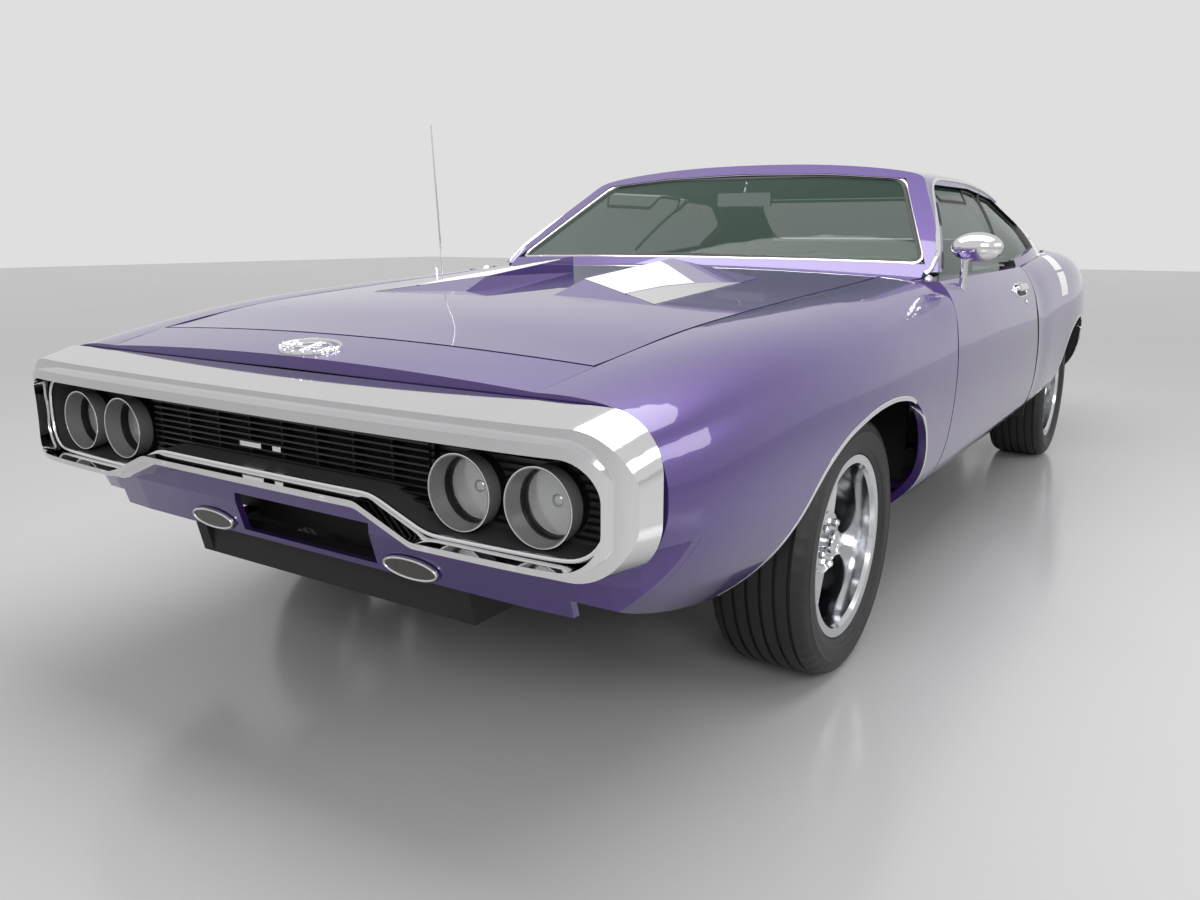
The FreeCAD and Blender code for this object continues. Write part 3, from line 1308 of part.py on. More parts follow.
def steering_wheel():
    way = column_way()
    hub = V(WHEEL_HUB_X, COLUMN_Y, WHEEL_HUB_Z)
    ring = Part.makeTorus(RIM_RING, RIM_GRIP, hub, way)
    boss = Part.makeCylinder(BOSS_RADIUS, BOSS_LENGTH, hub, way)
    parts = [boss]
    up = V(0, 1, 0).cross(way)
    for turn in (90, 210, 330):
        a = math.radians(turn + 180)
        out = V(0, 1, 0) * math.cos(a) + up * math.sin(a)
        parts.append(Part.makeCylinder(RIM_GRIP * 0.7, RIM_RING, hub + way * RIM_GRIP * 0.3, out))
    return ring.fuse(parts).removeSplitter()


def column():
    way = column_way()
    start = V(WHEEL_HUB_X, COLUMN_Y, WHEEL_HUB_Z) + way * (BOSS_LENGTH + SEAT_GAP)
    length = (FIREWALL_X - start.x) / way.x - COLUMN_RADIUS
    shaft = Part.makeCylinder(COLUMN_RADIUS, length, start, way)
    x0 = DASH_PROFILE[6][0] + GAP
    x1 = x0 + COLUMN_RADIUS
    low = start.z + way.z / way.x * (x0 - start.x)
    strap = block(x0, x1, COLUMN_Y - COLUMN_RADIUS / 2, COLUMN_Y + COLUMN_RADIUS / 2, low,
        DASH_PROFILE[6][1] - SEAT_GAP)
    return shaft.fuse(strap).removeSplitter()


# Mirrors and antenna
MIRROR_X = 640.0
MIRROR_Y = HALF_WIDTH - 47.5
MIRROR_Z = 1030.0
MIRROR_AXES = (52.0, 75.0, 44.0)
MIRROR_FOOT_Y = HALF_WIDTH - 79.5
MIRROR_BACK_LATITUDE = -12.0
STEM_RADIUS = 11.0
ANTENNA_X = 1060.0
ANTENNA_Y = 189.5 - HALF_WIDTH
ANTENNA_LOW = 860.0
ANTENNA_HIGH = 1440.0
ANTENNA_RADIUS = 3.0
ANTENNA_LEAN = 40.0
CABIN_MIRROR = (240.0, 110.0, 1170.0)
CABIN_MIRROR_HIGH = 50.0
CABIN_MIRROR_THICK = 14.0


def side_mirror(door_left):
    ball = Part.makeSphere(1.0, V(0, 0, 0), V(1, 0, 0), MIRROR_BACK_LATITUDE, 90, 360)
    stretch = FreeCAD.Matrix()
    stretch.scale(*MIRROR_AXES)
    head = ball.transformGeometry(stretch)
    head.translate(V(MIRROR_X, MIRROR_Y, MIRROR_Z))
    foot = V(MIRROR_X, MIRROR_FOOT_Y, BELT_HEIGHT - OVERRUN)
    top = V(MIRROR_X + STEM_RADIUS, MIRROR_Y - MIRROR_AXES[1] * 0.4, MIRROR_Z)
    stem = Part.makeCylinder(STEM_RADIUS, (top - foot).Length, foot, top - foot)
    whole = head.fuse(stem).cut(door_left)
    return max(whole.Solids, key=lambda s: s.Volume)


def antenna(fender_right):
    foot = V(ANTENNA_X, ANTENNA_Y, ANTENNA_LOW)
    top = V(ANTENNA_X + ANTENNA_LEAN, ANTENNA_Y, ANTENNA_HIGH)
    mast = Part.makeCylinder(ANTENNA_RADIUS, (top - foot).Length, foot, top - foot)
    collar = tube(ANTENNA_X, ANTENNA_Y, ANTENNA_LOW, ANTENNA_RADIUS * 4, OVERRUN, V(0, 0, 1))
    whole = mast.fuse(collar).cut(fender_right)
    return max(whole.Solids, key=lambda s: s.BoundBox.ZMax)


def cabin_mirror(roof_shell):
    x, half, z = CABIN_MIRROR
    head = block(x, x + CABIN_MIRROR_THICK, -half, half, z, z + CABIN_MIRROR_HIGH)
    stem = tube(x + CABIN_MIRROR_THICK / 2, 0, z + CABIN_MIRROR_HIGH, CABIN_MIRROR_THICK / 2,
        HEIGHT - z - CABIN_MIRROR_HIGH, V(-0.5, 0, 1))
    whole = head.fuse(stem).cut(roof_shell)
    return max(whole.Solids, key=lambda s: s.Volume)


# Wheels: deep-dish rims with spokes, and tyres
RIM_SECTION = (
    (226.0, 107.0),
    (226.0, 98.0),
    (213.0, 90.0),
    (206.0, 60.0),
    (206.0, -60.0),
    (213.0, -90.0),
    (226.0, -98.0),
    (226.0, -106.0),
    (216.0, -104.0),
    (204.0, -82.0),
    (197.0, -58.0),
    (197.0, 58.0),
    (199.0, 94.0),
    (205.0, 105.0),
)
SPOKE_ROOT = (52.0, 36.0, 12.0, 44.0, 54.0)
SPOKE_TIP = (201.0, 27.0, 2.0, 24.0, 34.0)
SPOKE_OUT_Y = 52.0
HUB_IN_Y = -26.0
BORE_CLEAR = 0.05
CAP_OUT_Y = 74.0
TYRE_SECTION = ((226.3, -100.0), (252.0, -117.0), (276.0, -122.0), (300.0, -116.0), (315.0, -104.0),
    (322.0, -84.0), (322.0, 84.0), (315.0, 104.0), (300.0, 116.0), (276.0, 122.0), (252.0, 117.0),
    (226.3, 100.0))


def spun(pairs):
    face = Part.Face(outline([V(r, y, 0) for r, y in pairs]))
    return face.revolve(V(0, 0, 0), V(0, 1, 0), 360)


def spoke(turn):
    """A tapering spoke with a ridge, from its root at the hub to its tip at the barrel."""
    wires = []
    for reach, half, back, face, ridge in (SPOKE_ROOT, SPOKE_TIP):
        corners = ((-half, back), (half, back), (half, face), (0.0, ridge), (-half, face))
        wires.append(outline([V(reach, y, z) for z, y in corners]))
    arm = Part.makeLoft(wires, True, True)
    arm.rotate(V(0, 0, 0), V(0, 1, 0), turn)
    return arm


def rim():
    barrel = spun(RIM_SECTION)
    hub = tube(0, HUB_IN_Y, 0, HUB_RADIUS, SPOKE_OUT_Y - HUB_IN_Y, V(0, 1, 0))
    cap = tube(0, SPOKE_OUT_Y, 0, CAP_RADIUS, CAP_OUT_Y - SPOKE_OUT_Y, V(0, 1, 0))
    turns = [360.0 * i / SPOKE_COUNT + 90 for i in range(SPOKE_COUNT)]
    wheel = barrel.fuse([hub, cap] + [spoke(turn) for turn in turns])
    reach = SPINDLE_END_Y - WHEEL_Y + BORE_CLEAR - HUB_IN_Y + OVERRUN
    bore = tube(0, HUB_IN_Y - OVERRUN, 0, SPINDLE_RADIUS + BORE_CLEAR, reach, V(0, 1, 0))
    return wheel.cut(bore).removeSplitter()


def place_wheel(shape, x, side):
    copy = shape.copy()
    copy.translate(V(x, WHEEL_Y, TYRE_RADIUS))
    return copy if side > 0 else flip(copy)


# Save
NODES = {}


def add(name, shape):
    NODES[name] = shape


def pair(stem, shape):
    add(stem + "_left", shape)
    add(stem + "_right", flip(shape))


FENDER = fender()
DOOR = door()
QUARTER = quarter()
SHELF = shelf()
ROOF = roof(QUARTER, SHELF)
pair("fender", FENDER)
pair("door", DOOR)
pair("quarter", QUARTER)
pair("rocker", rocker())
HOOD = hood()
add("hood", HOOD)
add("nose_panel", nose_panel())
add("scoop_inserts", both(scoop_insert(HOOD)))
add("trunk_lid", trunk_lid())
add("cowl", cowl())
add("roof", ROOF)
add("bumper_front", bumper_front())
add("lamp_surround", lamp_surround())
add("headlamp_bezels", Part.makeCompound([bezel(y, z) for y, z in lamp_places()]))
add("headlamp_lenses", Part.makeCompound([lens(y, z) for y, z in lamp_places()]))
add("grille", grille())
add("valance", valance())
add("parking_lamps", Part.makeCompound([parking_lamp(1), parking_lamp(-1)]))
add("floor", trim_rear(floor(), QUARTER))
add("frame_rails", frame_rails())
add("firewall", firewall())
add("radiator", radiator())
add("engine", engine())
add("suspension_front", suspension())
add("upper_arms", both(upper_arm()))
add("rear_axle", rear_axle())
add("exhaust", both(exhaust_side()))
add("fuel_tank", fuel_tank())
add("tail_panel", tail_panel())
add("tail_lamps", tail_lamps())
add("bumper_rear", bumper_rear())
add("windshield", shield_glass())
add("rear_window", back_glass())
SIDE_SHEET = side_sheet()
pair("door_glass", door_glass(SIDE_SHEET, DOOR))
add("quarter_glass", both(quarter_glass(SIDE_SHEET)))
add("instrument_panel", dash())
add("package_shelf", SHELF)
pair("seat_front", seat())
add("seat_rear", rear_seat())
add("steering_wheel", steering_wheel())
add("steering_column", column())
add("side_mirror", side_mirror(DOOR))
add("cabin_mirror", cabin_mirror(ROOF))
add("antenna", antenna(flip(FENDER)))
pair("knuckle", knuckle())
RIM = rim()
TYRE = spun(TYRE_SECTION)
for place, x in (("front", FRONT_AXLE_X), ("rear", REAR_AXLE_X)):
    for label, side in (("left", 1), ("right", -1)):
        add("rim_%s_%s" % (place, label), place_wheel(RIM, x, side))
        add("tyre_%s_%s" % (place, label), place_wheel(TYRE, x, side))

os.makedirs("parts", exist_ok=True)
for name, shape in NODES.items():
    shape.exportStep("parts/%s.step" % name)
    print(name, len(shape.Solids), shape.isValid(), round(shape.Volume / 1e6, 2))
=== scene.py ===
"""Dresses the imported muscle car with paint, plating, glass, rubber and vinyl, in a studio."""

import json
import math

import bmesh
import bpy
from bpy.props import FloatProperty, FloatVectorProperty, IntProperty, PointerProperty
from mathutils import Matrix, Vector
from mathutils.bvhtree import BVHTree


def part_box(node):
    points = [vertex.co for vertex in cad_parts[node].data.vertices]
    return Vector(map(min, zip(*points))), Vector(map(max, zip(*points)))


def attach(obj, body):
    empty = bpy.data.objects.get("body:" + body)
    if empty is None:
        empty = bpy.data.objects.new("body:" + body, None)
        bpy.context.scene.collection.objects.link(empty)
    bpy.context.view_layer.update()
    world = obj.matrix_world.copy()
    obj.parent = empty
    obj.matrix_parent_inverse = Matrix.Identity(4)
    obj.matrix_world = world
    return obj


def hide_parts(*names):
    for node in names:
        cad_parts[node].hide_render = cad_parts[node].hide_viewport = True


bl_info = {
    "name": "Muscle Car Dressing",
    "version": (1, 1, 0),
    "blender": (4, 5, 0),
    "location": "View3D > Sidebar > Muscle Car",
    "description": "Paint, trim, glass, tyres and seats for the packed muscle car",
    "category": "Object",
}

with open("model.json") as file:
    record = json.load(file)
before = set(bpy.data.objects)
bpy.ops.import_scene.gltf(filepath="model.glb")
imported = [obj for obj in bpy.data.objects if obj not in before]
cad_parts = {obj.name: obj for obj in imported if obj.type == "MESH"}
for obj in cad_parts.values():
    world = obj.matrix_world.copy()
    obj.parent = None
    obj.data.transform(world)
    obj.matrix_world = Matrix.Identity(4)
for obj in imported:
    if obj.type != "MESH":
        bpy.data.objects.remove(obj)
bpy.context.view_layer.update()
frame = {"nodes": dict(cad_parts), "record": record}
SLOTS = {row["node"]: row["material_slot"] for row in frame["record"]["subparts"]}

SIDES = (("left", 1.0), ("right", -1.0))
X, Y, Z = Vector((1, 0, 0)), Vector((0, 1, 0)), Vector((0, 0, 1))


# Shader building

class Socket:
    """An output socket that takes part in sums; each operator adds a Math node."""

    def __init__(self, tree, socket):
        self.tree = tree
        self.socket = socket

    def maths(self, operation, *values):
        return self.tree.add("ShaderNodeMath", {"operation": operation}, values).out()

    def __add__(self, other):
        return self.maths("ADD", self, other)

    def __radd__(self, other):
        return self.maths("ADD", other, self)

    def __sub__(self, other):
        return self.maths("SUBTRACT", self, other)

    def __rsub__(self, other):
        return self.maths("SUBTRACT", other, self)

    def __mul__(self, other):
        return self.maths("MULTIPLY", self, other)

    def __rmul__(self, other):
        return self.maths("MULTIPLY", other, self)

    def __pow__(self, other):
        return self.maths("POWER", self, other)

    def __abs__(self):
        return self.maths("ABSOLUTE", self)

    def __gt__(self, other):
        return self.maths("GREATER_THAN", self, other)

    def __lt__(self, other):
        return self.maths("LESS_THAN", self, other)


class Node:
    """A node with its tree, whose outputs are read by name."""

    def __init__(self, tree, node):
        self.tree = tree
        self.node = node

    def out(self, name=0):
        return Socket(self.tree, self.node.outputs[name])


class Tree:
    """A node tree that is being filled."""

    def __init__(self, tree):
        self.nodes = tree.nodes
        self.links = tree.links

    def set(self, node, values):
        pairs = values.items() if isinstance(values, dict) else enumerate(values)
        for key, value in pairs:
            slot = node.inputs[key]
            if isinstance(value, Socket):
                self.links.new(value.socket, slot)
            else:
                slot.default_value = value

    def add(self, kind, settings=None, values=()):
        node = self.nodes.new(kind)
        for key, value in (settings or {}).items():
            setattr(node, key, value)
        self.set(node, values)
        return Node(self, node)


class Finish(Tree):
    """A material under construction."""

    def __init__(self, name):
        self.material = bpy.data.materials.new(name)
        self.material.use_nodes = True
        super().__init__(self.material.node_tree)

    def shade(self, **values):
        """Sets the surface's sockets and gives the finished material."""
        named = {key.replace("_", " "): value for key, value in values.items()}
        self.set(self.nodes["Principled BSDF"], named)
        return self.material

    def coordinate(self, kind="Object"):
        return self.add("ShaderNodeTexCoord").out(kind)

    def parts(self):
        node = self.add("ShaderNodeSeparateXYZ", {}, {0: self.coordinate()})
        return [node.out(axis) for axis in "XYZ"]

    def noise(self, scale, detail=3.0, stretch=None):
        place = self.coordinate()
        if stretch:
            place = self.add("ShaderNodeMapping", {}, {"Vector": place, "Scale": stretch}).out()
        values = {"Scale": scale, "Detail": detail, "Vector": place}
        return self.add("ShaderNodeTexNoise", {}, values).out("Fac")

    def mix(self, factor, first, second):
        values = {0: factor, 6: first, 7: second}
        return self.add("ShaderNodeMix", {"data_type": "RGBA"}, values).out(2)

    def bump(self, height, strength, distance):
        values = {"Strength": strength, "Distance": distance, "Height": height}
        return self.add("ShaderNodeBump", {}, values).out()

    def fold(self, value, pitch):
        """A triangle wave from 0 to 1."""
        wave = self.add("ShaderNodeMath", {"operation": "PINGPONG"}, (value, pitch))
        return wave.out() * (1 / pitch)

    def facing(self, centre):
        """1 where a face looks away from the centre, such as the outside of a shell."""
        away = self.add("ShaderNodeVectorMath", {"operation": "SUBTRACT"},
                        {0: self.coordinate(), 1: centre}).out()
        node = self.add("ShaderNodeVectorMath", {"operation": "DOT_PRODUCT"},
                        {0: away, 1: self.coordinate("Normal")})
        return node.out("Value") > 0.0


def grey(value):
    return (value, value, value, 1.0)


def rgba(colour):
    return tuple(colour) + (1.0,)


def colours():
    return bpy.context.scene.car_colours


def sizes():
    return bpy.context.scene.car_sizes


# Finishes: each maker takes the material's name first

def paint(name, lining_and_shade_centre=None):
    """Metallic paint under a clear coat; faces towards the centre are black: vinyl lining inside
    the cabin, and painted shade on the door jambs and arch edges.
    """
    finish = Finish(name)
    flake = finish.noise(scale=900.0, detail=2.0)
    cloud = finish.noise(scale=1.7, detail=2.0)
    base = finish.mix(flake, rgba(colours().paint_deep), rgba(colours().paint_bright))
    tone = finish.mix(cloud * 0.3, base, rgba(colours().paint_soft))
    metal, rough, coat = cloud * 0.1 + 0.45, flake * 0.10 + 0.24, cloud * 0.04 + 0.96
    # Black towards the centre: vinyl lining inside, and painted shade on the door jambs and arch
    # edges, which face it too
    if lining_and_shade_centre:
        outside = finish.facing(lining_and_shade_centre)
        vinyl = finish.mix(finish.noise(scale=420.0, detail=4.0), grey(0.010), grey(0.020))
        tone = finish.mix(outside, vinyl, tone)
        metal, coat = metal * outside, coat * outside
        rough = rough * outside + (1 - outside) * 0.55
    return finish.shade(Base_Color=tone, Metallic=metal, Roughness=rough, Coat_Weight=coat,
                        Coat_Roughness=0.02, Coat_IOR=1.6)


def solid(name, colour, metallic, roughness, grain, height, soil=0.8):
    """An opaque finish with fine grain and a slow change of tone."""
    finish = Finish(name)
    fine = finish.noise(grain)
    soiled = rgba(c * soil for c in colour)
    tone = finish.mix(finish.noise(scale=14.0, detail=4.0), soiled, rgba(colour))
    return finish.shade(Base_Color=tone, Metallic=metallic, Roughness=fine * 0.10 + roughness,
                        Normal=finish.bump(fine, 0.25, height))


def plating(name, colour, roughness):
    """Bright plating: almost even, with faint polishing haze."""
    finish = Finish(name)
    haze, fine = finish.noise(scale=5.0, detail=4.0), finish.noise(scale=160.0, detail=2.0)
    tone = finish.mix(haze, rgba(c * 0.93 for c in colour), rgba(colour))
    return finish.shade(Base_Color=tone, Metallic=1.0,
                        Roughness=fine * 0.03 + haze * 0.03 + roughness)


def glazing(name, tint, clear, edge):
    """Tinted glass; its alpha rises from clear face on to edge at a slant."""
    finish = Finish(name)
    slant = finish.add("ShaderNodeLayerWeight", {}, {"Blend": 0.5}).out("Facing")
    haze = finish.noise(scale=3.0)
    alpha = slant ** 3.0 * (edge - clear) + haze * 0.03 + clear
    return finish.shade(Base_Color=tint, Roughness=haze * 0.02 + 0.01, Alpha=alpha, IOR=1.5)


def bezel_paint_and_well_shade(name):
    """Argent paint on the bezel's mouth, and black in the well behind it: painted shade deep in
    the recess.
    """
    finish = Finish(name)
    # Behind bezel_well the bezel is black: painted shade deep in the well
    front = finish.parts()[0] > sizes().bezel_well
    fine = finish.noise(scale=700.0)
    argent = finish.mix(fine, grey(0.23), grey(0.31))
    return finish.shade(Base_Color=finish.mix(front, grey(0.006), argent), Metallic=front * 0.35,
                        Roughness=fine * 0.1 + 0.36, Normal=finish.bump(fine, 0.2, 0.0002))


NOSE_SLOPE, SPLIT_SLOPE, CORNER_SLOPE = 0.848, 0.1486, 0.344
SPLIT_LINE = 0.004


def scoop_film(name):
    """White film behind each scoop's nose, silver outside it, and paint on the rest."""
    finish = Finish(name)
    x, y, _ = finish.parts()
    out = abs(y)
    ahead = (x - out * NOSE_SLOPE) > sizes().film_rear
    split = out + x * SPLIT_SLOPE - sizes().film_split
    white = ahead * (split < 0.0)
    line = ahead * (abs(split) < SPLIT_LINE)
    painted = (1 - ahead) * ((out + x * CORNER_SLOPE) < sizes().film_paint)
    painted = painted + line - painted * line
    brush = finish.noise(scale=60.0, stretch=(1.0, 14.0, 1.0))
    silver = finish.mix(brush, grey(0.45), grey(0.72))
    tone = finish.mix(white, silver, rgba(colours().film))
    tone = finish.mix(painted, tone, rgba(colours().paint_bright))
    return finish.shade(Base_Color=tone, Metallic=(1 - white) * 0.7 * (1 - painted * 0.4),
                        Roughness=brush * 0.10 + white * 0.10 + 0.16,
                        Coat_Weight=painted * 0.9 + 0.1, Coat_Roughness=0.03)


def stripe_film(name):
    return solid(name, tuple(colours().film), 0.0, 0.16, 90.0, 0.0001, 0.96)


def tyre_rubber(name):
    finish = Finish(name)
    fine = finish.noise(scale=500.0)
    tone = finish.mix(finish.noise(scale=9.0, detail=5.0), grey(0.009), grey(0.019))
    return finish.shade(Base_Color=tone, Roughness=fine * 0.15 + 0.46,
                        Normal=finish.bump(fine, 0.3, 0.0003))


def seat_vinyl(name):
    """Black vinyl with a fine leather grain."""
    finish = Finish(name)
    values = {"Scale": 420.0, "Vector": finish.coordinate()}
    cell = finish.add("ShaderNodeTexVoronoi", {"feature": "DISTANCE_TO_EDGE"}, values)
    crease = cell.out("Distance") * 2.0
    cloud = finish.noise(scale=8.0, detail=4.0)
    tone = finish.mix(cloud, rgba(colours().vinyl), grey(0.024))
    return finish.shade(Base_Color=tone, Roughness=0.52 - crease * 0.15 + cloud * 0.08,
                        Normal=finish.bump(crease, 0.5, 0.0006))


def lamp_lens(name, colour, alpha, pitch, depth):
    """Moulded lens: fine prisms over a coloured or clear body."""
    finish = Finish(name)
    _, y, z = finish.parts()
    prism = finish.fold(y, pitch)
    height = prism + finish.fold(z, pitch * 3) * 0.9
    tone = finish.mix(prism, rgba(c * 0.7 for c in colour), rgba(colour))
    return finish.shade(Base_Color=tone, Roughness=prism * 0.05 + 0.04, IOR=1.5,
                        Alpha=prism * 0.08 + alpha, Normal=finish.bump(height, 0.5, depth))


# Faces towards this point are black: the cabin's lining, and painted shade on door jambs and arch
# edges
CABIN_CENTRE = (-0.25, 0.0, 0.72)

# solid: colour, metallic, roughness, scale of the grain, its height, soil
# plating: colour, roughness; glazing: tint, alpha face on and at a slant
# lamp_lens: colour, alpha, pitch of the prisms, their depth
MAKERS = {
    "body_paint": (paint,),
    # Paint with a black lining, which also paints shade on the jambs and arch edges
    "paint_lining_and_jamb_shade": (paint, CABIN_CENTRE),
    "bright_metal": (plating, (0.80, 0.80, 0.81), 0.035),
    "trim_metal": (plating, (0.86, 0.86, 0.87), 0.08),
    "wheel_alloy": (plating, (0.66, 0.67, 0.69), 0.10),
    "argent_paint": (solid, (0.075, 0.075, 0.080), 0.25, 0.34, 700.0, 0.0002),
    "bezel_paint_and_well_shade": (bezel_paint_and_well_shade,),
    "chassis_black": (solid, (0.012, 0.012, 0.012), 0.0, 0.58, 300.0, 0.0006),
    "grille_plastic": (solid, (0.007, 0.007, 0.009), 0.0, 0.26, 500.0, 0.0002),
    "cast_metal": (solid, (0.060, 0.060, 0.064), 0.6, 0.55, 260.0, 0.0008),
    "pipe_steel": (solid, (0.40, 0.39, 0.38), 1.0, 0.26, 200.0, 0.0003, 0.6),
    "window_glass": (glazing, (0.030, 0.062, 0.046, 1.0), 0.30, 0.92),
    "lamp_glass": (lamp_lens, (0.62, 0.63, 0.62), 0.22, 0.0030, 0.0008),
    "lamp_smoke": (lamp_lens, (0.105, 0.100, 0.090), 0.90, 0.0040, 0.0006),
    "lamp_red": (lamp_lens, (0.42, 0.008, 0.010), 0.90, 0.0060, 0.0010),
    "white_film": (scoop_film,),
    "stripe_film": (stripe_film,),
    "tyre_rubber": (tyre_rubber,),
    # Black rubber of the seals, also laid as painted shade in a gap, a recess and holes
    "rubber_and_painted_shade": (solid, (0.010, 0.010, 0.011), 0.0, 0.45, 600.0, 0.0003),
    "seat_vinyl": (seat_vinyl,),
    "dash_plastic": (solid, (0.014, 0.014, 0.015), 0.0, 0.50, 460.0, 0.0006),
    "gauge_face": (solid, (0.55, 0.54, 0.50), 0.0, 0.40, 300.0, 0.0001),
}

# Nodes whose finish differs from their slot's, and slots of finishes that aren't slots
NODE_FINISHES = {
    "door_left": "paint_lining_and_jamb_shade", "door_right": "paint_lining_and_jamb_shade",
    "quarter_left": "paint_lining_and_jamb_shade", "quarter_right": "paint_lining_and_jamb_shade",
    "roof": "paint_lining_and_jamb_shade", "headlamp_bezels": "bezel_paint_and_well_shade",
}
FINISH_SLOTS = {
    "trim_metal": "bright_metal", "rubber_and_painted_shade": "grille_plastic", "stripe_film": "white_film",
    "gauge_face": "dash_plastic",
}

FINISHED = {}


def finish_named(name):
    """The material of that name, made when it is first asked for."""
    if name not in FINISHED:
        maker, *values = MAKERS[name]
        FINISHED[name] = maker(name, *values)
    return FINISHED[name]


def dress_nodes():
    """Puts this script's finishes in place of the plain ones that the frame came with."""
    for obj in frame["nodes"].values():
        obj.data.materials.clear()
    for plain in list(bpy.data.materials):
        bpy.data.materials.remove(plain)
    for name, obj in frame["nodes"].items():
        obj.data.materials.append(finish_named(NODE_FINISHES.get(name, SLOTS[name])))


# Mesh building

TINY = 1e-6
SHARP = math.radians(42)


def piece(name, points, faces, finish, body, slot, smooth=True, replaced=()):
    """A new object with outward faces, riding on a body."""
    bm = bmesh.new()
    verts = [bm.verts.new(p) for p in points]
    for face in faces:
        bm.faces.new([verts[i] for i in face])
    bmesh.ops.remove_doubles(bm, verts=bm.verts, dist=TINY)
    bmesh.ops.recalc_face_normals(bm, faces=bm.faces)
    mesh = bpy.data.meshes.new(name)
    bm.to_mesh(mesh)
    bm.free()
    mesh.polygons.foreach_set("use_smooth", [smooth] * len(mesh.polygons))
    if smooth:
        mesh.set_sharp_from_angle(angle=SHARP)
    mesh.materials.append(finish_named(finish))
    obj = bpy.data.objects.new(name, mesh)
    bpy.context.scene.collection.objects.link(obj)
    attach(obj, body)
    if replaced:
        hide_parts(*replaced)
    return obj


def turns(count):
    """Evenly spaced angles round a full turn."""
    return [2 * math.pi * i / count for i in range(count)]


class Stock:
    """Points and faces gathered from several like shapes, for one object."""

    def __init__(self):
        self.points = []
        self.faces = []

    def take(self, points, faces):
        start = len(self.points)
        self.points += [Vector(p) for p in points]
        self.faces += [tuple(start + i for i in face) for face in faces]
        return self

    def rings(self, rings, closed_path=False, closed_ring=True):
        """Skins a row of rings; an open row gets end caps."""
        count = len(rings[0])
        faces = []
        for a in range(len(rings) if closed_path else len(rings) - 1):
            b = (a + 1) % len(rings)
            for i in range(count if closed_ring else count - 1):
                j = (i + 1) % count
                faces.append((a * count + i, a * count + j, b * count + j, b * count + i))
        if not closed_path and closed_ring:
            faces.append(tuple(reversed(range(count))))
            faces.append(tuple((len(rings) - 1) * count + i for i in range(count)))
        return self.take([p for ring in rings for p in ring], faces)

    def lathe(self, centre, axis, section, count, widths=(1.0, 1.0), first=None):
        """Turns a section of (along, radius) about an axis; widths squeeze it to an ellipse."""
        axis = Vector(axis).normalized()
        side = Vector(first) if first else axis.cross(Z if abs(axis.z) < 0.9 else X).normalized()
        side = (side - axis * side.dot(axis)).normalized()
        up = axis.cross(side)
        closed = section[0] == section[-1]
        section = section[:-1] if closed else section
        rows = len(section)
        rings = []
        for turn in turns(count):
            out = side * math.cos(turn) * widths[0] + up * math.sin(turn) * widths[1]
            rings.append([Vector(centre) + axis * along + out * radius
                          for along, radius in section])
        self.rings(rings, True, closed)
        start = len(self.points) - count * rows
        for row, order in () if closed else ((0, 1), (rows - 1, -1)):
            if section[row][1] > TINY:
                cap = tuple(start + i * rows + row for i in range(count))
                self.faces.append(cap[::order])
        return self

    def strip(self, rays, profile, closed=False):
        """Sweeps a profile of (across, out) along surface points, given as (place, normal)."""
        places, normals = zip(*rays)
        places, normals = eased(places, closed, 1), eased(normals, closed, 3)
        rings = []
        for i, place in enumerate(places):
            before, after = neighbours(places, i, closed)
            along = (after - before).normalized()
            out = (normals[i] - along * normals[i].dot(along)).normalized()
            across = along.cross(out)
            rings.append([place + across * a + out * o for a, o in profile])
        return self.rings(rings, closed)

    def slab(self, grid, top, bottom):
        """A thin closed sheet that follows a grid of (place, normal) surface points."""
        wide, tall = len(grid[0]), len(grid)
        upper = [p + n * top for row in grid for p, n in row]
        lower = [p - n * bottom for row in grid for p, n in row]
        count = len(upper)
        faces = []
        for i in range(tall - 1):
            for j in range(wide - 1):
                a, d = i * wide + j, (i + 1) * wide + j
                b, c = a + 1, d + 1
                faces += [(a, b, c, d), (count + d, count + c, count + b, count + a)]
        edge = (list(range(wide)) + [i * wide + wide - 1 for i in range(1, tall)]
                + [(tall - 1) * wide + j for j in range(wide - 2, -1, -1)]
                + [i * wide for i in range(tall - 2, 0, -1)])
        for a, b in zip(edge, edge[1:] + edge[:1]):
            faces.append((b, a, count + a, count + b))
        return self.take(upper + lower, faces)

    def make(self, name, finish, body="body", slot=None, **settings):
        slot = slot or FINISH_SLOTS.get(finish, finish)
        return piece(name, self.points, self.faces, finish, body, slot, **settings)


def resample(points, step, closed=False):
    """Evenly spaced points along a polyline."""
    points = [Vector(p) for p in points]
    if closed:
        points = points + [points[0]]
    lengths = [0.0]
    for a, b in zip(points, points[1:]):
        lengths.append(lengths[-1] + (b - a).length)
    count = max(2, round(lengths[-1] / step))
    result, row = [], 0
    for i in range(count if closed else count + 1):
        want = lengths[-1] * i / count
        while row < len(points) - 2 and lengths[row + 1] < want:
            row += 1
        share = (want - lengths[row]) / max(lengths[row + 1] - lengths[row], TINY)
        result.append(points[row].lerp(points[row + 1], min(share, 1.0)))
    return result


def neighbours(values, i, closed):
    before = values[i - 1] if closed or i else values[i]
    after = values[(i + 1) % len(values)] if closed or i + 1 < len(values) else values[i]
    return before, after


def rounded(points, radius, closed=True):
    """Rounds the corners of a polyline."""
    points = [Vector(p) for p in points]
    result = []
    for i, corner in enumerate(points):
        if not closed and i in (0, len(points) - 1):
            result.append(corner)
            continue
        ends = []
        for other in neighbours(points, i, closed):
            way = other - corner
            ends.append(corner + way.normalized() * min(radius, way.length * 0.45))
        for t in (0.0, 0.25, 0.5, 0.75, 1.0):
            bend = corner * 2 * t * (1 - t)
            result.append(ends[0] * (1 - t) ** 2 + bend + ends[1] * t ** 2)
    return result


def eased(values, closed, rounds=2):
    """Averages neighbouring vectors."""
    for _ in range(rounds):
        pairs = [neighbours(values, i, closed) for i in range(len(values))]
        values = [a * 0.25 + v * 0.5 + b * 0.25 for v, (a, b) in zip(values, pairs)]
    return values


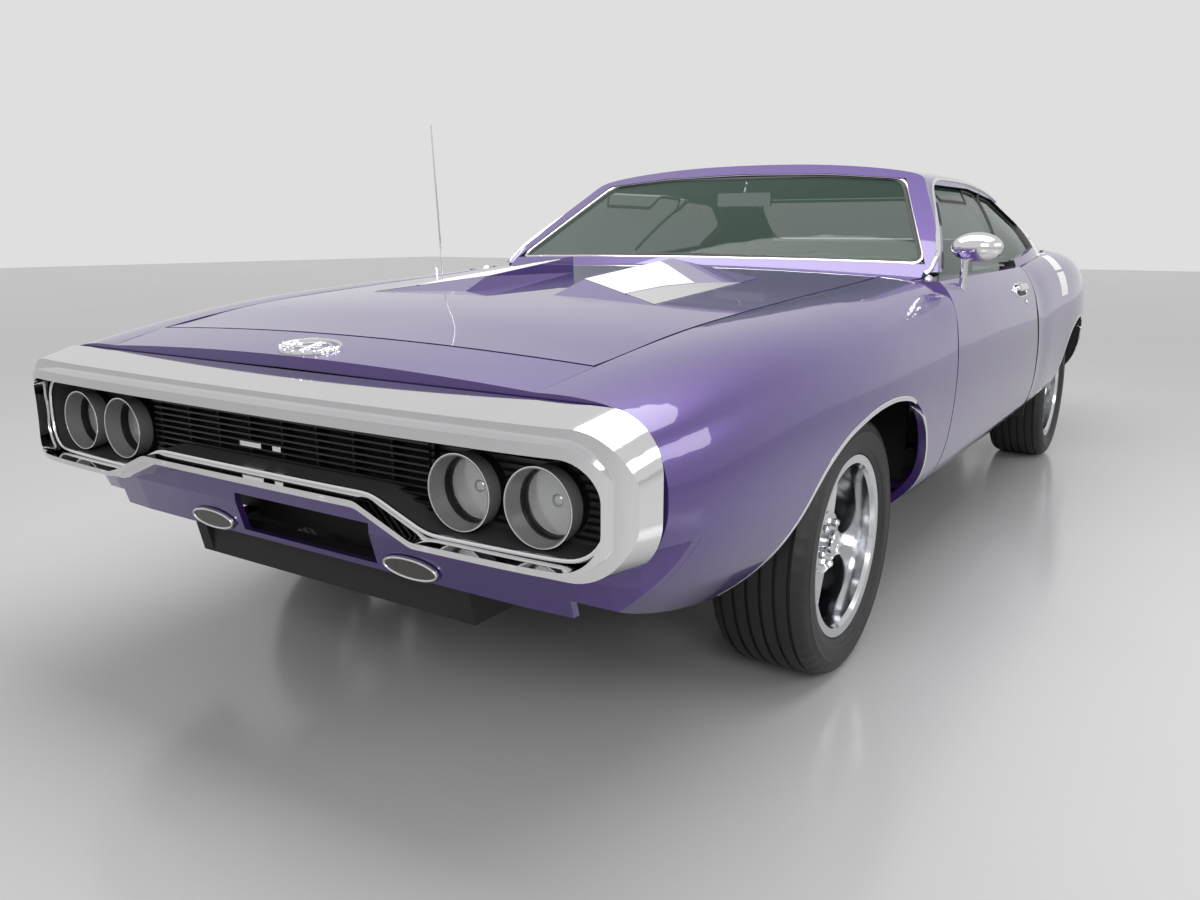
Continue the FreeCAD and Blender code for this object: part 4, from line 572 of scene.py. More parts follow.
def bead(half, rise, sink=0.002, steps=6):
    """A rounded strip profile that stands proud of its surface."""
    arch = [(half * math.cos(math.pi * i / steps), rise * math.sin(math.pi * i / steps))
            for i in range(steps + 1)]
    return arch + [(-half, -sink), (half, -sink)]


def mirrored(half):
    """A closed outline from its half with y from 0 upwards, given from middle to middle."""
    return [(y, z) for y, z in half] + [(-y, z) for y, z in reversed(half) if y > TINY]


def shrunk(outline, by):
    """Moves each point of an outline towards its middle."""
    outline = [Vector(p) for p in outline]
    middle = sum(outline, Vector((0, 0))) / len(outline)
    return [p + (middle - p).normalized() * by for p in outline]


# Where rays start, outside the car, and what a side ray falls back to
RAY_SIDE, RAY_TOP, RAY_END = 1.4, 2.0, 3.2
FLANK_Y, PANE_Y = 0.5, 0.78


class Skin:
    """The CAD surfaces of some nodes, asked where a ray meets them."""

    def __init__(self, *names):
        points, faces = [], []
        for name in names:
            mesh = frame["nodes"][name].data
            start = len(points)
            points += [v.co.copy() for v in mesh.vertices]
            faces += [tuple(start + i for i in p.vertices) for p in mesh.polygons]
        self.names = names
        self.tree = BVHTree.FromPolygons(points, faces)

    def hit(self, origin, way):
        """The place and the normal towards the ray's start; a miss is an error."""
        place, normal, _, _ = self.tree.ray_cast(Vector(origin), Vector(way).normalized())
        if place is None:
            raise ValueError(f"a ray from {tuple(origin)} misses {self.names}")
        return place, (-normal if normal.dot(Vector(way)) > 0 else normal)

    def side(self, x, z, sign):
        """The near flank; where the ray slips through a gap, the nearest edge of it."""
        way = Vector((0, -sign, 0))
        place, normal, _, _ = self.tree.ray_cast(Vector((x, sign * RAY_SIDE, z)), way)
        if place is None or place.y * sign < FLANK_Y:
            return self.near(Vector((x, sign * PANE_Y, z))), Y * sign
        return place, (-normal if normal.y * sign < 0 else normal)

    def top(self, x, y):
        return self.hit((x, y, RAY_TOP), -Z)

    def front(self, y, z):
        return self.hit((RAY_END, y, z), -X)

    def back(self, y, z):
        return self.hit((-RAY_END, y, z), X)

    def near(self, place):
        return self.tree.find_nearest(place)[0]


# Bright mouldings and seals; lengths in metres, (x, z) on the flanks and (y, z) across the car

WINDSHIELD = ((0, 0.986), (0.420, 0.984), (0.700, 0.979), (0.804, 0.975), (0.612, 1.258),
              (0.340, 1.281), (0, 1.289))
REAR_WINDOW = ((0.585, 1.040), (0.510, 1.228), (-0.510, 1.228), (-0.585, 1.040))
SIDE_WINDOW = ((0.635, 0.938), (0.165, 1.238), (-0.350, 1.242), (-0.800, 1.212),
               (-1.030, 1.110), (-0.985, 1.012), (-0.456, 0.970))
DIVISION = ((-0.309, 0.985), (-0.548, 1.235))
DRIP_RAIL = ((0.668, 0.945), (0.420, 1.110), (0.175, 1.256), (-0.080, 1.262), (-0.350, 1.262),
             (-0.600, 1.250), (-0.800, 1.232), (-0.900, 1.205))
GUTTER = ((0.006, -0.003), (0.006, 0.006), (0.003, 0.008), (0, 0.007), (-0.003, 0.008),
          (-0.006, 0.006), (-0.006, -0.003))
TRIM_STEP = 0.016
PANE_SINK = 0.004
# A pillar's foot, seen from above as (x, y), and the tilt of its axis
PILLAR_FOOT = (0.758, 0.852)
FOOT_RISE, FOOT_AXIS_Y, FOOT_AXIS_Z = 0.004, 0.12, -0.10
FOOT_SECTION = ((-0.040, 0.002), (-0.030, 0.007), (-0.010, 0.011), (0.010, 0.011),
                (0.022, 0.008), (0.028, 0.002))


def pane_trim(name, finish, cast, outline, half, rise, inset, radius):
    """A bead round a pane, laid where rays meet the pane and its frame."""
    path = resample(rounded(shrunk(outline, inset), radius), TRIM_STEP, True)
    rays = [cast(*p) for p in path]
    Stock().strip(rays, bead(half, rise, PANE_SINK), True).make(name, finish)


def window_trim():
    front = Skin("windshield", "roof", "cowl").front
    rear = Skin("rear_window", "roof").back
    shield = mirrored(WINDSHIELD)
    pane_trim("windshield_moulding", "trim_metal", front, shield, 0.007, 0.005, 0.001, 0.040)
    pane_trim("windshield_seal", "rubber_and_painted_shade", front, shield, 0.006, 0.0015, 0.014, 0.035)
    pane_trim("rear_window_moulding", "trim_metal", rear, REAR_WINDOW, 0.009, 0.005, 0.0, 0.060)


def side_trim():
    rail = resample(rounded(DRIP_RAIL, 0.150, False), TRIM_STEP)
    seal = resample(rounded(shrunk(SIDE_WINDOW, 0.010)[:6], 0.060, False), TRIM_STEP)
    bar = resample(DIVISION, 0.02)
    for side, sign in SIDES:
        door, quarter = f"door_{side}", f"quarter_{side}"
        shell = Skin("roof", door, quarter)
        glass = Skin("roof", f"door_glass_{side}", "quarter_glass", quarter, door)
        for name, finish, skin, path, profile in (
                ("drip_rail", "trim_metal", shell, rail, GUTTER),
                ("window_seal", "rubber_and_painted_shade", glass, seal, bead(0.007, 0.003)),
                ("glass_division", "rubber_and_painted_shade", glass, bar, bead(0.009, 0.006))):
            rays = [skin.side(*p, sign) for p in path]
            Stock().strip(rays, profile).make(f"{name}_{side}", finish)


def pillar_feet():
    """Bright bullet-shaped caps where the pillar mouldings meet the fenders."""
    stock = Stock()
    for side, sign in SIDES:
        skin = Skin("roof", "cowl", f"fender_{side}", f"door_{side}", "hood")
        place, normal = skin.top(PILLAR_FOOT[0], sign * PILLAR_FOOT[1])
        stock.lathe(place + normal * FOOT_RISE, (1, sign * FOOT_AXIS_Y, FOOT_AXIS_Z),
                    FOOT_SECTION, 16)
    stock.make("pillar_feet", "bright_metal")


# Each arch: its end, its panel, its axle's place and how far its front half reaches
ARCHES = (("front", "fender", 1.530, 1.0), ("rear", "quarter", -1.391, 0.8))
ARCH_SHARES = ((-0.995, -0.03), (-0.975, 0.145), (-0.875, 0.445), (-0.725, 0.695),
               (-0.475, 0.85), (-0.125, 0.895), (0.225, 0.875), (0.625, 0.795),
               (0.925, 0.645), (1.15, 0.383), (1.325, 0.158), (1.46, 0.058))
ARCH_REACH = 0.400
LIP_OFFSET = 0.008
AXLE_Z = 0.322
WHEEL_Y = 0.805


def arch_lips():
    for side, sign in SIDES:
        for end, panel, axle_x, forward in ARCHES:
            skin = Skin(f"{panel}_{side}")
            middle = Vector((axle_x, AXLE_Z))
            shares = [Vector((a * forward if a > 0 else a, b)) for a, b in ARCH_SHARES]
            outline = [middle + s * ARCH_REACH + s.normalized() * LIP_OFFSET for s in shares]
            path = resample(rounded(outline, 0.060, False), 0.014)
            rays = [skin.side(*p, sign) for p in path]
            lip = Stock().strip(rays, bead(0.0055, 0.0008, 0.003))
            lip.make(f"arch_lip_{end}_{side}", "trim_metal")


MOUTH_HALF, MOUTH_TOP, MOUTH_LOW, MOUTH_MIDDLE = 0.846, 0.722, 0.534, 0.590
KINK_OUT, KINK_IN = 0.468, 0.332
LINER_FRONT_X = 2.545
BUMPER_BOLTS = ((0.250, 0.5825), (0.505, 0.5275), (0.690, 0.5275))
BOLT_SECTION = ((-0.001, 0.0050), (0.0004, 0.0048), (0.0010, 0.0030), (0.0012, 0.0))
BOLT_WIDTHS = (2.0, 1.0)


def mouth_outline(inset):
    """The loop of the bumper's mouth, as (y, z)."""
    half, top = MOUTH_HALF - inset, MOUTH_TOP - inset
    low, middle = MOUTH_LOW + inset, MOUTH_MIDDLE + inset
    outer, inner = KINK_OUT + inset * 0.4, KINK_IN + inset * 0.4
    return mirrored([(0, top), (half - 0.104, top), (half - 0.03, top - 0.03),
                     (half, top - 0.085), (half, low + 0.06), (half - 0.018, low + 0.018),
                     (half - 0.07, low), (outer + 0.06, low), (outer, low), (inner, middle),
                     (inner - 0.05, middle), (0, middle)])


def mouth_trim():
    """A bright bead round the liner's front edge, and outside it a black strip: painted shade in
    the gap.
    """
    liner = Skin("lamp_surround")
    for name, finish, inset, profile in (
            ("mouth_bead", "trim_metal", 0.008, bead(0.0045, 0.004)),
            # The black strip is painted shade in the gap between bumper and liner
            ("mouth_gap_shade", "rubber_and_painted_shade", 0.0015, bead(0.0030, 0.0012))):
        path = resample(rounded(mouth_outline(inset), 0.040), 0.012, True)
        places = eased([liner.near(Vector((LINER_FRONT_X, *p))) for p in path], True)
        Stock().strip([(place, X) for place in places], profile, True).make(name, finish)


def bumper_bolts():
    bumper = Skin("bumper_front")
    stock = Stock()
    for y, z in BUMPER_BOLTS:
        for _, sign in SIDES:
            stock.lathe(*bumper.front(sign * y, z), BOLT_SECTION, 16, BOLT_WIDTHS, Y)
    stock.make("bumper_bolts", "trim_metal")


# Lamps and grille; sections are (along, radius)

LAMP_YS, LAMP_Z, LAMP_X = (0.524, 0.700), 0.618, 2.4462
LAMP_RING = ((0, 0.0665), (0.0100, 0.0665), (0.0116, 0.0640), (0.0108, 0.0605), (0, 0.0600),
             (0, 0.0665))
LAMP_BOWL = ((0.0002, 0.0600), (0.0060, 0.0600), (0.0030, 0.0420), (0.0014, 0.0220),
             (0.0012, 0.0120), (0.0050, 0.0080), (0.0055, 0.0))
LENS_RADIUS, LENS_BACK, LENS_DOME, LENS_FALL = 0.0598, 0.0062, 0.0112, 0.0045
LENS_STEPS, LENS_ROWS = 72, 14
FLUTE, FLUTE_PITCH, FLUTE_LOW, FLUTE_HIGH, FLUTE_FAINT = 0.0007, 0.0040, -0.012, 0.042, 0.2
BEZEL_X, BEZEL_RADIUS, BEZEL_EDGE, BEZEL_DEPTH = 2.5055, 0.0712, 0.0013, 0.0012


def lens_rings(centre):
    """Rings of a domed lens from its middle out, with flutes that fade above and below."""
    rings = []
    for i in range(1, LENS_ROWS + 1):
        share = i / LENS_ROWS
        dome = LENS_DOME - LENS_FALL * share ** 2
        ring = []
        for turn in turns(LENS_STEPS):
            dy = LENS_RADIUS * share * math.cos(turn)
            dz = LENS_RADIUS * share * math.sin(turn)
            flute = (FLUTE * math.cos(dy / FLUTE_PITCH * math.pi)
                     * (1 if FLUTE_LOW < dz < FLUTE_HIGH else FLUTE_FAINT))
            ring.append(centre + Vector((dome + (flute if i < LENS_ROWS else 0), dy, dz)))
        rings.append(ring)
    return rings + [[Vector((centre.x + LENS_BACK, p.y, p.z)) for p in rings[-1]]]


def headlamps():
    """Sealed lamps: a ring, a shallow bright bowl and a domed lens with flutes."""
    rings, bowls, glasses, rims = Stock(), Stock(), Stock(), Stock()
    edge = [(BEZEL_DEPTH * math.sin(a), BEZEL_RADIUS + BEZEL_EDGE * math.cos(a))
            for a in turns(8) + [0]]
    for _, sign in SIDES:
        for y in reversed(LAMP_YS):
            centre = Vector((LAMP_X, sign * y, LAMP_Z))
            rings.lathe(centre, X, LAMP_RING, 64)
            bowls.lathe(centre, X, LAMP_BOWL, 48)
            glasses.rings(lens_rings(centre))
            rims.lathe((BEZEL_X, sign * y, LAMP_Z), X, edge, 72)
    rings.make("headlamp_rings", "grille_plastic")
    bowls.make("headlamp_bowls", "trim_metal")
    glasses.make("headlamp_glasses", "lamp_glass", replaced=("headlamp_lenses",))
    rims.make("bezel_rims", "trim_metal")


BAR_COUNT, BAR_LOW, BAR_PITCH, BAR_GAP, BAR_SHORTEST = 10, 0.562, 0.014, 0.071, 0.006
BAR_SECTION = ((2.4458, -0.0016), (2.4560, -0.0014), (2.4585, 0), (2.4560, 0.0014),
               (2.4458, 0.0016))
BAR_START, BAR_START_LOW, BAR_KINK_Z = 0.434, 0.475, 0.58
BAR_END, BAR_SLANT, BAR_LEVEL, BAR_STRAIGHT = 0.822, 1.8, 0.625, 0.045
PLATES = ((-0.086, 0.036), (0.0, 0.013))
PLATE_HALF, PLATE_Z = 0.006, 0.628
PLATE_LEVELS = ((-0.006, 1.0), (0.0015, 1.0), (0.0028, 0.86))


def grille_wings():
    """The bars that run on behind the lamps."""
    stock = Stock()
    for k in range(BAR_COUNT):
        z = BAR_LOW + BAR_PITCH * k
        end = BAR_END - BAR_SLANT * max(0.0, abs(z - BAR_LEVEL) - BAR_STRAIGHT)
        spans, start = [], BAR_START if z > BAR_KINK_Z else BAR_START_LOW
        rise = abs(z - LAMP_Z)
        if rise < BAR_GAP:
            half = math.sqrt(BAR_GAP ** 2 - rise ** 2)
            for lamp_y in LAMP_YS:
                spans.append((start, lamp_y - half))
                start = lamp_y + half
        for ends in spans + [(start, end)]:
            for _, sign in SIDES:
                if ends[1] - ends[0] > BAR_SHORTEST:
                    stock.rings([[Vector((x, sign * y, z + dz)) for x, dz in BAR_SECTION]
                                 for y in ends])
    stock.make("grille_wings", "grille_plastic", smooth=False)


def grille_plate():
    """A small bare plate and its end piece on the grille's bars."""
    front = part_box("grille")[1][0]
    stock = Stock()
    for y, half in PLATES:
        corners = [(-half, -PLATE_HALF), (half, -PLATE_HALF), (half, PLATE_HALF),
                   (-half, PLATE_HALF)]
        stock.rings([[Vector((front + out, y + a * grow, PLATE_Z + b * grow))
                      for a, b in corners] for out, grow in PLATE_LEVELS])
    stock.make("grille_plate", "trim_metal", smooth=False)


PARKING_LAMP, PARKING_HALF_Y, PARKING_HALF_Z = (0.318, 0.4115), 0.072, 0.0225
TAIL_LAMP = ((0.384, 0.649), (0.796, 0.649), (0.796, 0.751), (0.384, 0.751))
TAIL_FRAME_X, TAIL_BAR_X = -2.5045, -2.5055
TAIL_BARS, TAIL_BAR_ENDS = (0.677, 0.700, 0.723), (0.394, 0.786)


def small_lamp_rims():
    skin = Skin("valance", "parking_lamps")
    oval = [(PARKING_LAMP[0] + PARKING_HALF_Y * math.cos(a),
             PARKING_LAMP[1] + PARKING_HALF_Z * math.sin(a)) for a in turns(60)]
    outline = resample(rounded(TAIL_LAMP, 0.030), 0.012, True)
    rims, frames = Stock(), Stock()
    for _, sign in SIDES:
        rims.strip([skin.front(sign * y, z) for y, z in oval], bead(0.0028, 0.003, 0.004), True)
        frames.strip([(Vector((TAIL_FRAME_X, sign * y, z)), -X) for y, z in outline],
                     bead(0.006, 0.004, 0.020), True)
        for z in TAIL_BARS:
            bar = resample([Vector((TAIL_BAR_X, sign * y, z)) for y in TAIL_BAR_ENDS], 0.05)
            frames.strip([(place, -X) for place in bar], bead(0.0022, 0.003))
    rims.make("parking_lamp_rims", "trim_metal")
    frames.make("tail_lamp_frames", "trim_metal")


# Nose emblem, handles, stripes

EMBLEM_X, EMBLEM_LONG, EMBLEM_WIDE = 2.374, 0.047, 0.080
EMBLEM_RINGS = ((1.0, 0.0040, 0.0065), (0.70, 0.0022, 0.0045))
EMBLEM_BARS = 0.68
PEARL, PEARL_RISE = 0.0045, 0.005


def emblem():
    """A plain oval with beads along its front, a smaller ring and crossed bars in it."""
    skin = Skin("nose_panel")
    stock = Stock()

    def on(angle, share=1.0):
        return skin.top(EMBLEM_X + EMBLEM_LONG * share * math.cos(angle),
                        EMBLEM_WIDE * share * math.sin(angle))

    for share, half, rise in EMBLEM_RINGS:
        stock.strip([on(a, share) for a in turns(72)], bead(half, rise), True)
    ball = [(0.0, PEARL)] + [(PEARL_RISE + PEARL * math.sin(math.radians(e)),
                              PEARL * math.cos(math.radians(e))) for e in range(0, 91, 30)]
    for degrees in range(-84, 85, 21):
        stock.lathe(*on(math.radians(degrees)), ball, 10)
    for turn in (0.0, math.pi / 2):
        path = resample([on(turn, share)[0] for share in (-EMBLEM_BARS, EMBLEM_BARS)], 0.008)
        stock.strip([skin.top(p.x, p.y) for p in path], bead(0.0020, 0.0040))
    stock.make("nose_emblem", "bright_metal")


HANDLE, LOCK = (-0.112, 0.867), (-0.150, 0.823)
PADDLE = ((0.011, 0.010), (0.0125, 0.0145), (0.008, 0.0185), (-0.004, 0.0195),
          (-0.012, 0.0165), (-0.014, 0.012), (-0.010, 0.009), (0.004, 0.0085))
PADDLE_REACHES, PADDLE_RISE, PADDLE_END = (-0.074, -0.05, -0.02, 0.01, 0.04, 0.074), 0.005, 0.068
POST_SECTION = ((-0.001, 0.009), (0.013, 0.007), (0.014, 0.0))
LOCK_SECTION = ((-0.001, 0.011), (0.002, 0.011), (0.004, 0.008), (0.003, 0.003), (0.003, 0.0))
RECESS_REACH, RECESS_RISE = 0.088, 0.019
FRAME_REACH, FRAME_RISE = 0.094, 0.023


def squared(value, power):
    """A power that keeps the sign; under 1, it squares off an oval."""
    return math.copysign(abs(value) ** power, value)


def handles():
    """Paddle handles over a dark sheet, painted shade of their recess, with a lock under each."""
    middle, level = HANDLE
    for side, sign in SIDES:
        skin, door = Skin(f"door_{side}"), f"door_{side}"
        # A thin black sheet on the door skin: painted shade of the handle's recess
        grid = []
        for i in range(7):
            part = i / 3 - 1
            reach = RECESS_REACH * math.sqrt(1 - 0.35 * abs(part) ** 2.5)
            grid.append([skin.side(middle + reach * (j / 8 - 1), level + RECESS_RISE * part, sign)
                         for j in range(17)])
        Stock().slab(grid, 0.0012, 0.002).make(f"handle_recess_shade_{side}", "rubber_and_painted_shade", door)
        bright = Stock()
        ring = [(middle + FRAME_REACH * squared(math.cos(a), 0.5),
                 level + FRAME_RISE * squared(math.sin(a), 0.7)) for a in turns(64)]
        bright.strip([skin.side(x, z, sign) for x, z in ring], bead(0.0035, 0.004), True)
        bright.strip([skin.side(middle + x, level + PADDLE_RISE, sign) for x in PADDLE_REACHES],
                     PADDLE)
        for x in (middle - PADDLE_END, middle + PADDLE_END):
            bright.lathe(*skin.side(x, level + PADDLE_RISE, sign), POST_SECTION, 16)
        bright.lathe(*skin.side(*LOCK, sign), LOCK_SECTION, 24)
        bright.make(f"door_handle_{side}", "bright_metal", door)


# The stripe's middle as (rise across the slanted rays, x)
STRIPE_ROUTE = ((-0.135, -0.950), (-0.050, -0.975), (0.010, -0.995), (0.060, -1.030),
                (0.110, -1.090), (0.190, -1.150), (0.320, -1.165), (0.400, -1.170))
STRIPE_MARGIN = 0.005
STRIPE_TOP, STRIPE_SINK = 0.0007, 0.002
SLANT_START = 2.0


def stripe_x(rise):
    for (s0, x0), (s1, x1) in zip(STRIPE_ROUTE, STRIPE_ROUTE[1:]):
        if rise <= s1:
            return x0 + (x1 - x0) * (rise - s0) / (s1 - s0)
    return STRIPE_ROUTE[-1][1]


def stripes():
    """White film segments up each rear pillar."""
    first, last = STRIPE_ROUTE[0][0] + STRIPE_MARGIN, STRIPE_ROUTE[-1][0] - STRIPE_MARGIN
    pitch = (last - first) / sizes().stripe_segments
    for side, sign in SIDES:
        skin = Skin("roof", f"quarter_{side}")
        stock = Stock()
        way, up = Vector((0, -sign, -1)).normalized(), Vector((0, -sign, 1)).normalized()
        for k in range(sizes().stripe_segments):
            grid = []
            for i in range(13):
                rise = first + pitch * k + (pitch - sizes().stripe_gap) * i / 12
                row = [stripe_x(rise) + sizes().stripe_width * (j / 6 - 0.5) for j in range(7)]
                grid.append([skin.hit(X * x + up * rise - way * SLANT_START, way) for x in row])
            stock.slab(grid, STRIPE_TOP, STRIPE_SINK)
        stock.make(f"pillar_stripes_{side}", "stripe_film")


# Wheels

TYRE_SIDE = ((0.1000, 0.2270), (0.1080, 0.2290), (0.1120, 0.2360), (0.1150, 0.2420),
             (0.1166, 0.2425), (0.1172, 0.2455), (0.1176, 0.2460), (0.1200, 0.2560),
             (0.1214, 0.2700), (0.1210, 0.2800), (0.1218, 0.2812), (0.1216, 0.2845),
             (0.1200, 0.2860), (0.1170, 0.2980), (0.1140, 0.3050), (0.1080, 0.3120),
             (0.1000, 0.3165))
TYRE_BEAD = ((-0.098, 0.2262), (0.098, 0.2262))
GROOVES = ((0.0840, 0.3200), (0.0500, 0.3212), (0.0165, 0.3218))
GROOVE_TOP, GROOVE_FOOT, GROOVE_RADIUS = 0.0045, 0.0030, 0.3140
SHOULDER_IN, SHOULDER_OUT, SHOULDER_RADIUS, SHOULDER_CUT = 0.099, 0.115, 0.3, 0.004
NUT_COUNT, NUT_CIRCLE = 5, 0.054
NUT_HEX = ((-0.002, 0.0105), (0.011, 0.0105), (0.013, 0.0085))
NUT_CAP = ((0.010, 0.0085), (0.015, 0.0070), (0.018, 0.0))
CAP_RINGS, CAP_HALF = (0.0265, 0.0200), 0.0015


def tyre_section():
    """A tyre's closed section as (out from the middle, radius)."""
    half = list(TYRE_SIDE)
    for groove, crown in GROOVES:
        half += [(groove + GROOVE_TOP, crown), (groove + GROOVE_FOOT, GROOVE_RADIUS),
                 (groove - GROOVE_FOOT, GROOVE_RADIUS), (groove - GROOVE_TOP, crown)]
    return half + [(-a, r) for a, r in reversed(half)] + list(TYRE_BEAD)


def tyres():
    section = tyre_section()
    for side, sign in SIDES:
        for end, _, axle_x, _ in ARCHES:
            rings = []
            for i, turn in enumerate(turns(sizes().tyre_steps)):
                way = Vector((math.cos(turn), 0, math.sin(turn)))
                ring = []
                for across, radius in section:
                    on_shoulder = SHOULDER_IN < abs(across) < SHOULDER_OUT
                    if i % 3 == 0 and on_shoulder and radius > SHOULDER_RADIUS:
                        radius -= SHOULDER_CUT
                    middle = Vector((axle_x, sign * WHEEL_Y + across, AXLE_Z))
                    ring.append(middle + way * radius)
                rings.append(ring)
            Stock().rings(rings, True).make(
                f"tyre_tread_{end}_{side}", "tyre_rubber", f"wheel_{end}_{side}",
                replaced=(f"tyre_{end}_{side}",))


def lug_nuts():
    for side, sign in SIDES:
        for end, _, axle_x, _ in ARCHES:
            skin = Skin(f"rim_{end}_{side}")
            stock = Stock()
            for i in range(NUT_COUNT):
                turn = 2 * math.pi * (i + 0.5) / NUT_COUNT + math.pi / 2
                place, _ = skin.side(axle_x + NUT_CIRCLE * math.cos(turn),
                                     AXLE_Z + NUT_CIRCLE * math.sin(turn), sign)
                stock.lathe(place, Y * sign, NUT_HEX, 6)
                stock.lathe(place, Y * sign, NUT_CAP, 14)
            for radius in CAP_RINGS:
                place, _ = skin.side(axle_x + radius, AXLE_Z, sign)
                outer, inner = radius + CAP_HALF, radius - CAP_HALF
                ring = [(-0.002, outer), (0.0008, outer), (0.0018, radius), (0.0008, inner),
                        (-0.002, inner), (-0.002, outer)]
                stock.lathe((axle_x, place.y, AXLE_Z), Y * sign, ring, 40)
            stock.make(f"lug_nuts_{end}_{side}", "bright_metal", f"wheel_{end}_{side}",
                       "wheel_alloy")


# Mirror, antenna, cowl and trunk lock

MIRROR_HEAD, MIRROR_WIDTHS = (0.957, 1.030), (0.060, 0.034)
MIRROR_SECTION = ((-0.004, 1.0), (0.0004, 1.0), (0.0004, 0.0))
ANTENNA_RADIUS, ANTENNA_SINK = 0.004, 0.001
BASE_SECTION = ((0.0, 0.013), (0.004, 0.013), (0.009, 0.009), (0.020, 0.006), (0.026, 0.0))
VENT_ROWS, VENT_COUNT, VENT_X, VENT_PITCH, VENT_REACH = 3, 80, 0.747, 0.008, 0.50
VENT_SECTION = ((-0.001, 0.0029), (0.0004, 0.0029), (0.0004, 0.0))
TRUNK_LOCK_Z = 0.800
TRUNK_LOCK_SECTION = ((-0.001, 0.016), (0.003, 0.016), (0.005, 0.012), (0.004, 0.005),
                      (0.004, 0.0))


def mirror_glass():
    place, _ = Skin("side_mirror").hit((0.0, *MIRROR_HEAD), X)
    glass = Stock().lathe(place, -X, MIRROR_SECTION, 40, MIRROR_WIDTHS, Y)
    glass.make("mirror_glass", "bright_metal")


def antenna_base():
    low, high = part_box("antenna")
    foot = (high[0] - ANTENNA_RADIUS, (low[1] + high[1]) / 2, low[2] - ANTENNA_SINK)
    Stock().lathe(foot, Z, BASE_SECTION, 20).make("antenna_base", "bright_metal")


def cowl_vents():
    """Rows of small black discs on the cowl, ahead of the windshield: painted shade in its holes.
    """
    skin = Skin("cowl", "roof")
    stock = Stock()
    for row in range(VENT_ROWS):
        for i in range(VENT_COUNT):
            y = 2 * VENT_REACH * (i + 0.5 * (row % 2)) / (VENT_COUNT - 0.5) - VENT_REACH
            stock.lathe(*skin.top(VENT_X + row * VENT_PITCH, y), VENT_SECTION, 6)
    # Black discs: painted shade where the holes are
    stock.make("cowl_vents", "rubber_and_painted_shade", smooth=False)


def trunk_lock():
    ray = Skin("tail_panel", "trunk_lid").back(0.0, TRUNK_LOCK_Z)
    Stock().lathe(*ray, TRUNK_LOCK_SECTION, 28).make("trunk_lock", "bright_metal")


# Cabin

ARMREST = ((0.030, -0.002), (0.032, 0.030), (0.022, 0.046), (-0.018, 0.046), (-0.032, 0.030),
           (-0.030, -0.002))
ARMREST_ROUTE = ((-0.26, 0.640), (0.10, 0.650), (0.24, 0.680))
DOOR_STRIP_ROUTE = ((0.40, 0.500), (-0.30, 0.480))
KNOB_SECTION = ((-0.001, 0.024), (0.006, 0.022), (0.018, 0.012), (0.020, 0.0))
LEVERS = ((0.30, 0.600, 0.085), (0.36, 0.720, 0.060))
LEVER_PROFILE, LEVER_DROP = ((0.006, 0), (0.006, 0.005), (-0.006, 0.005), (-0.006, 0)), 0.02
GAUGES = ((0.48, 0.815, 0.038), (0.385, 0.815, 0.038), (0.29, 0.815, 0.038),
          (0.05, 0.80, 0.026), (-0.02, 0.80, 0.026), (-0.60, 0.80, 0.030))
ROLL_YS, ROLL_Z = (-0.77, -0.5, -0.2, 0.1, 0.4, 0.77), 0.868
DASH_VIEW_X = -0.3


def door_cards():
    """Armrest, handle and winder on the inside of each door."""
    for side, sign in SIDES:
        skin, door = Skin(f"door_{side}"), f"door_{side}"

        def inside(x, z):
            return skin.hit((x, 0.0, z), (0, sign, 0))

        rays = [inside(*p) for p in resample(ARMREST_ROUTE, 0.03)]
        Stock().strip(rays, ARMREST).make(f"armrest_{side}", "seat_vinyl", door)
        stock = Stock()
        for x, z, length in LEVERS:
            place, out = inside(x, z)
            stock.lathe(place, out, KNOB_SECTION, 24)
            end = place + Vector((length, 0, -LEVER_DROP))
            lever = (place + out * 0.018, place.lerp(end, 0.5) + out * 0.022, end + out * 0.026)
            stock.strip([(p, out) for p in lever], LEVER_PROFILE)
        stock.strip([inside(*p) for p in resample(DOOR_STRIP_ROUTE, 0.03)], bead(0.006, 0.003))
        stock.make(f"door_controls_{side}", "trim_metal", door)


def dash_details():
    """Gauges and a padded roll on the instrument panel."""
    panel = Skin("instrument_panel")
    rings, faces = Stock(), Stock()
    for y, z, radius in GAUGES:
        ray = panel.hit((DASH_VIEW_X, y, z), X)
        faces.lathe(*ray, [(-0.001, radius), (0.0012, radius), (0.0012, 0.0)], 32)
        rings.lathe(*ray, [(-0.001, radius + 0.004), (0.006, radius + 0.002), (0.007, radius),
                           (0.001, radius - 0.001), (-0.001, radius + 0.004)], 40)
    faces.make("gauge_faces", "gauge_face")
    rings.make("gauge_rings", "trim_metal")
    roll = [panel.hit((DASH_VIEW_X, y, ROLL_Z), X) for y in ROLL_YS]
    Stock().strip(roll, bead(0.012, 0.010, 0.004, 8)).make("dash_roll", "dash_plastic")


FRONT_CUSHION = ((0.148, 0.310), (0.160, 0.425), (0.118, 0.448), (-0.270, 0.425),
                 (-0.330, 0.400), (-0.350, 0.320))
FRONT_BACK = ((-0.305, 0.428), (-0.486, 0.945), (-0.525, 0.962), (-0.588, 0.925),
              (-0.440, 0.345), (-0.350, 0.345))
REAR_CUSHION = ((-0.690, 0.420), (-0.660, 0.500), (-0.700, 0.515), (-0.925, 0.486),
                (-0.950, 0.470), (-0.885, 0.420))
REAR_BACK = ((-0.932, 0.492), (-1.015, 0.888), (-1.065, 0.897), (-1.073, 0.474),
             (-0.950, 0.474))
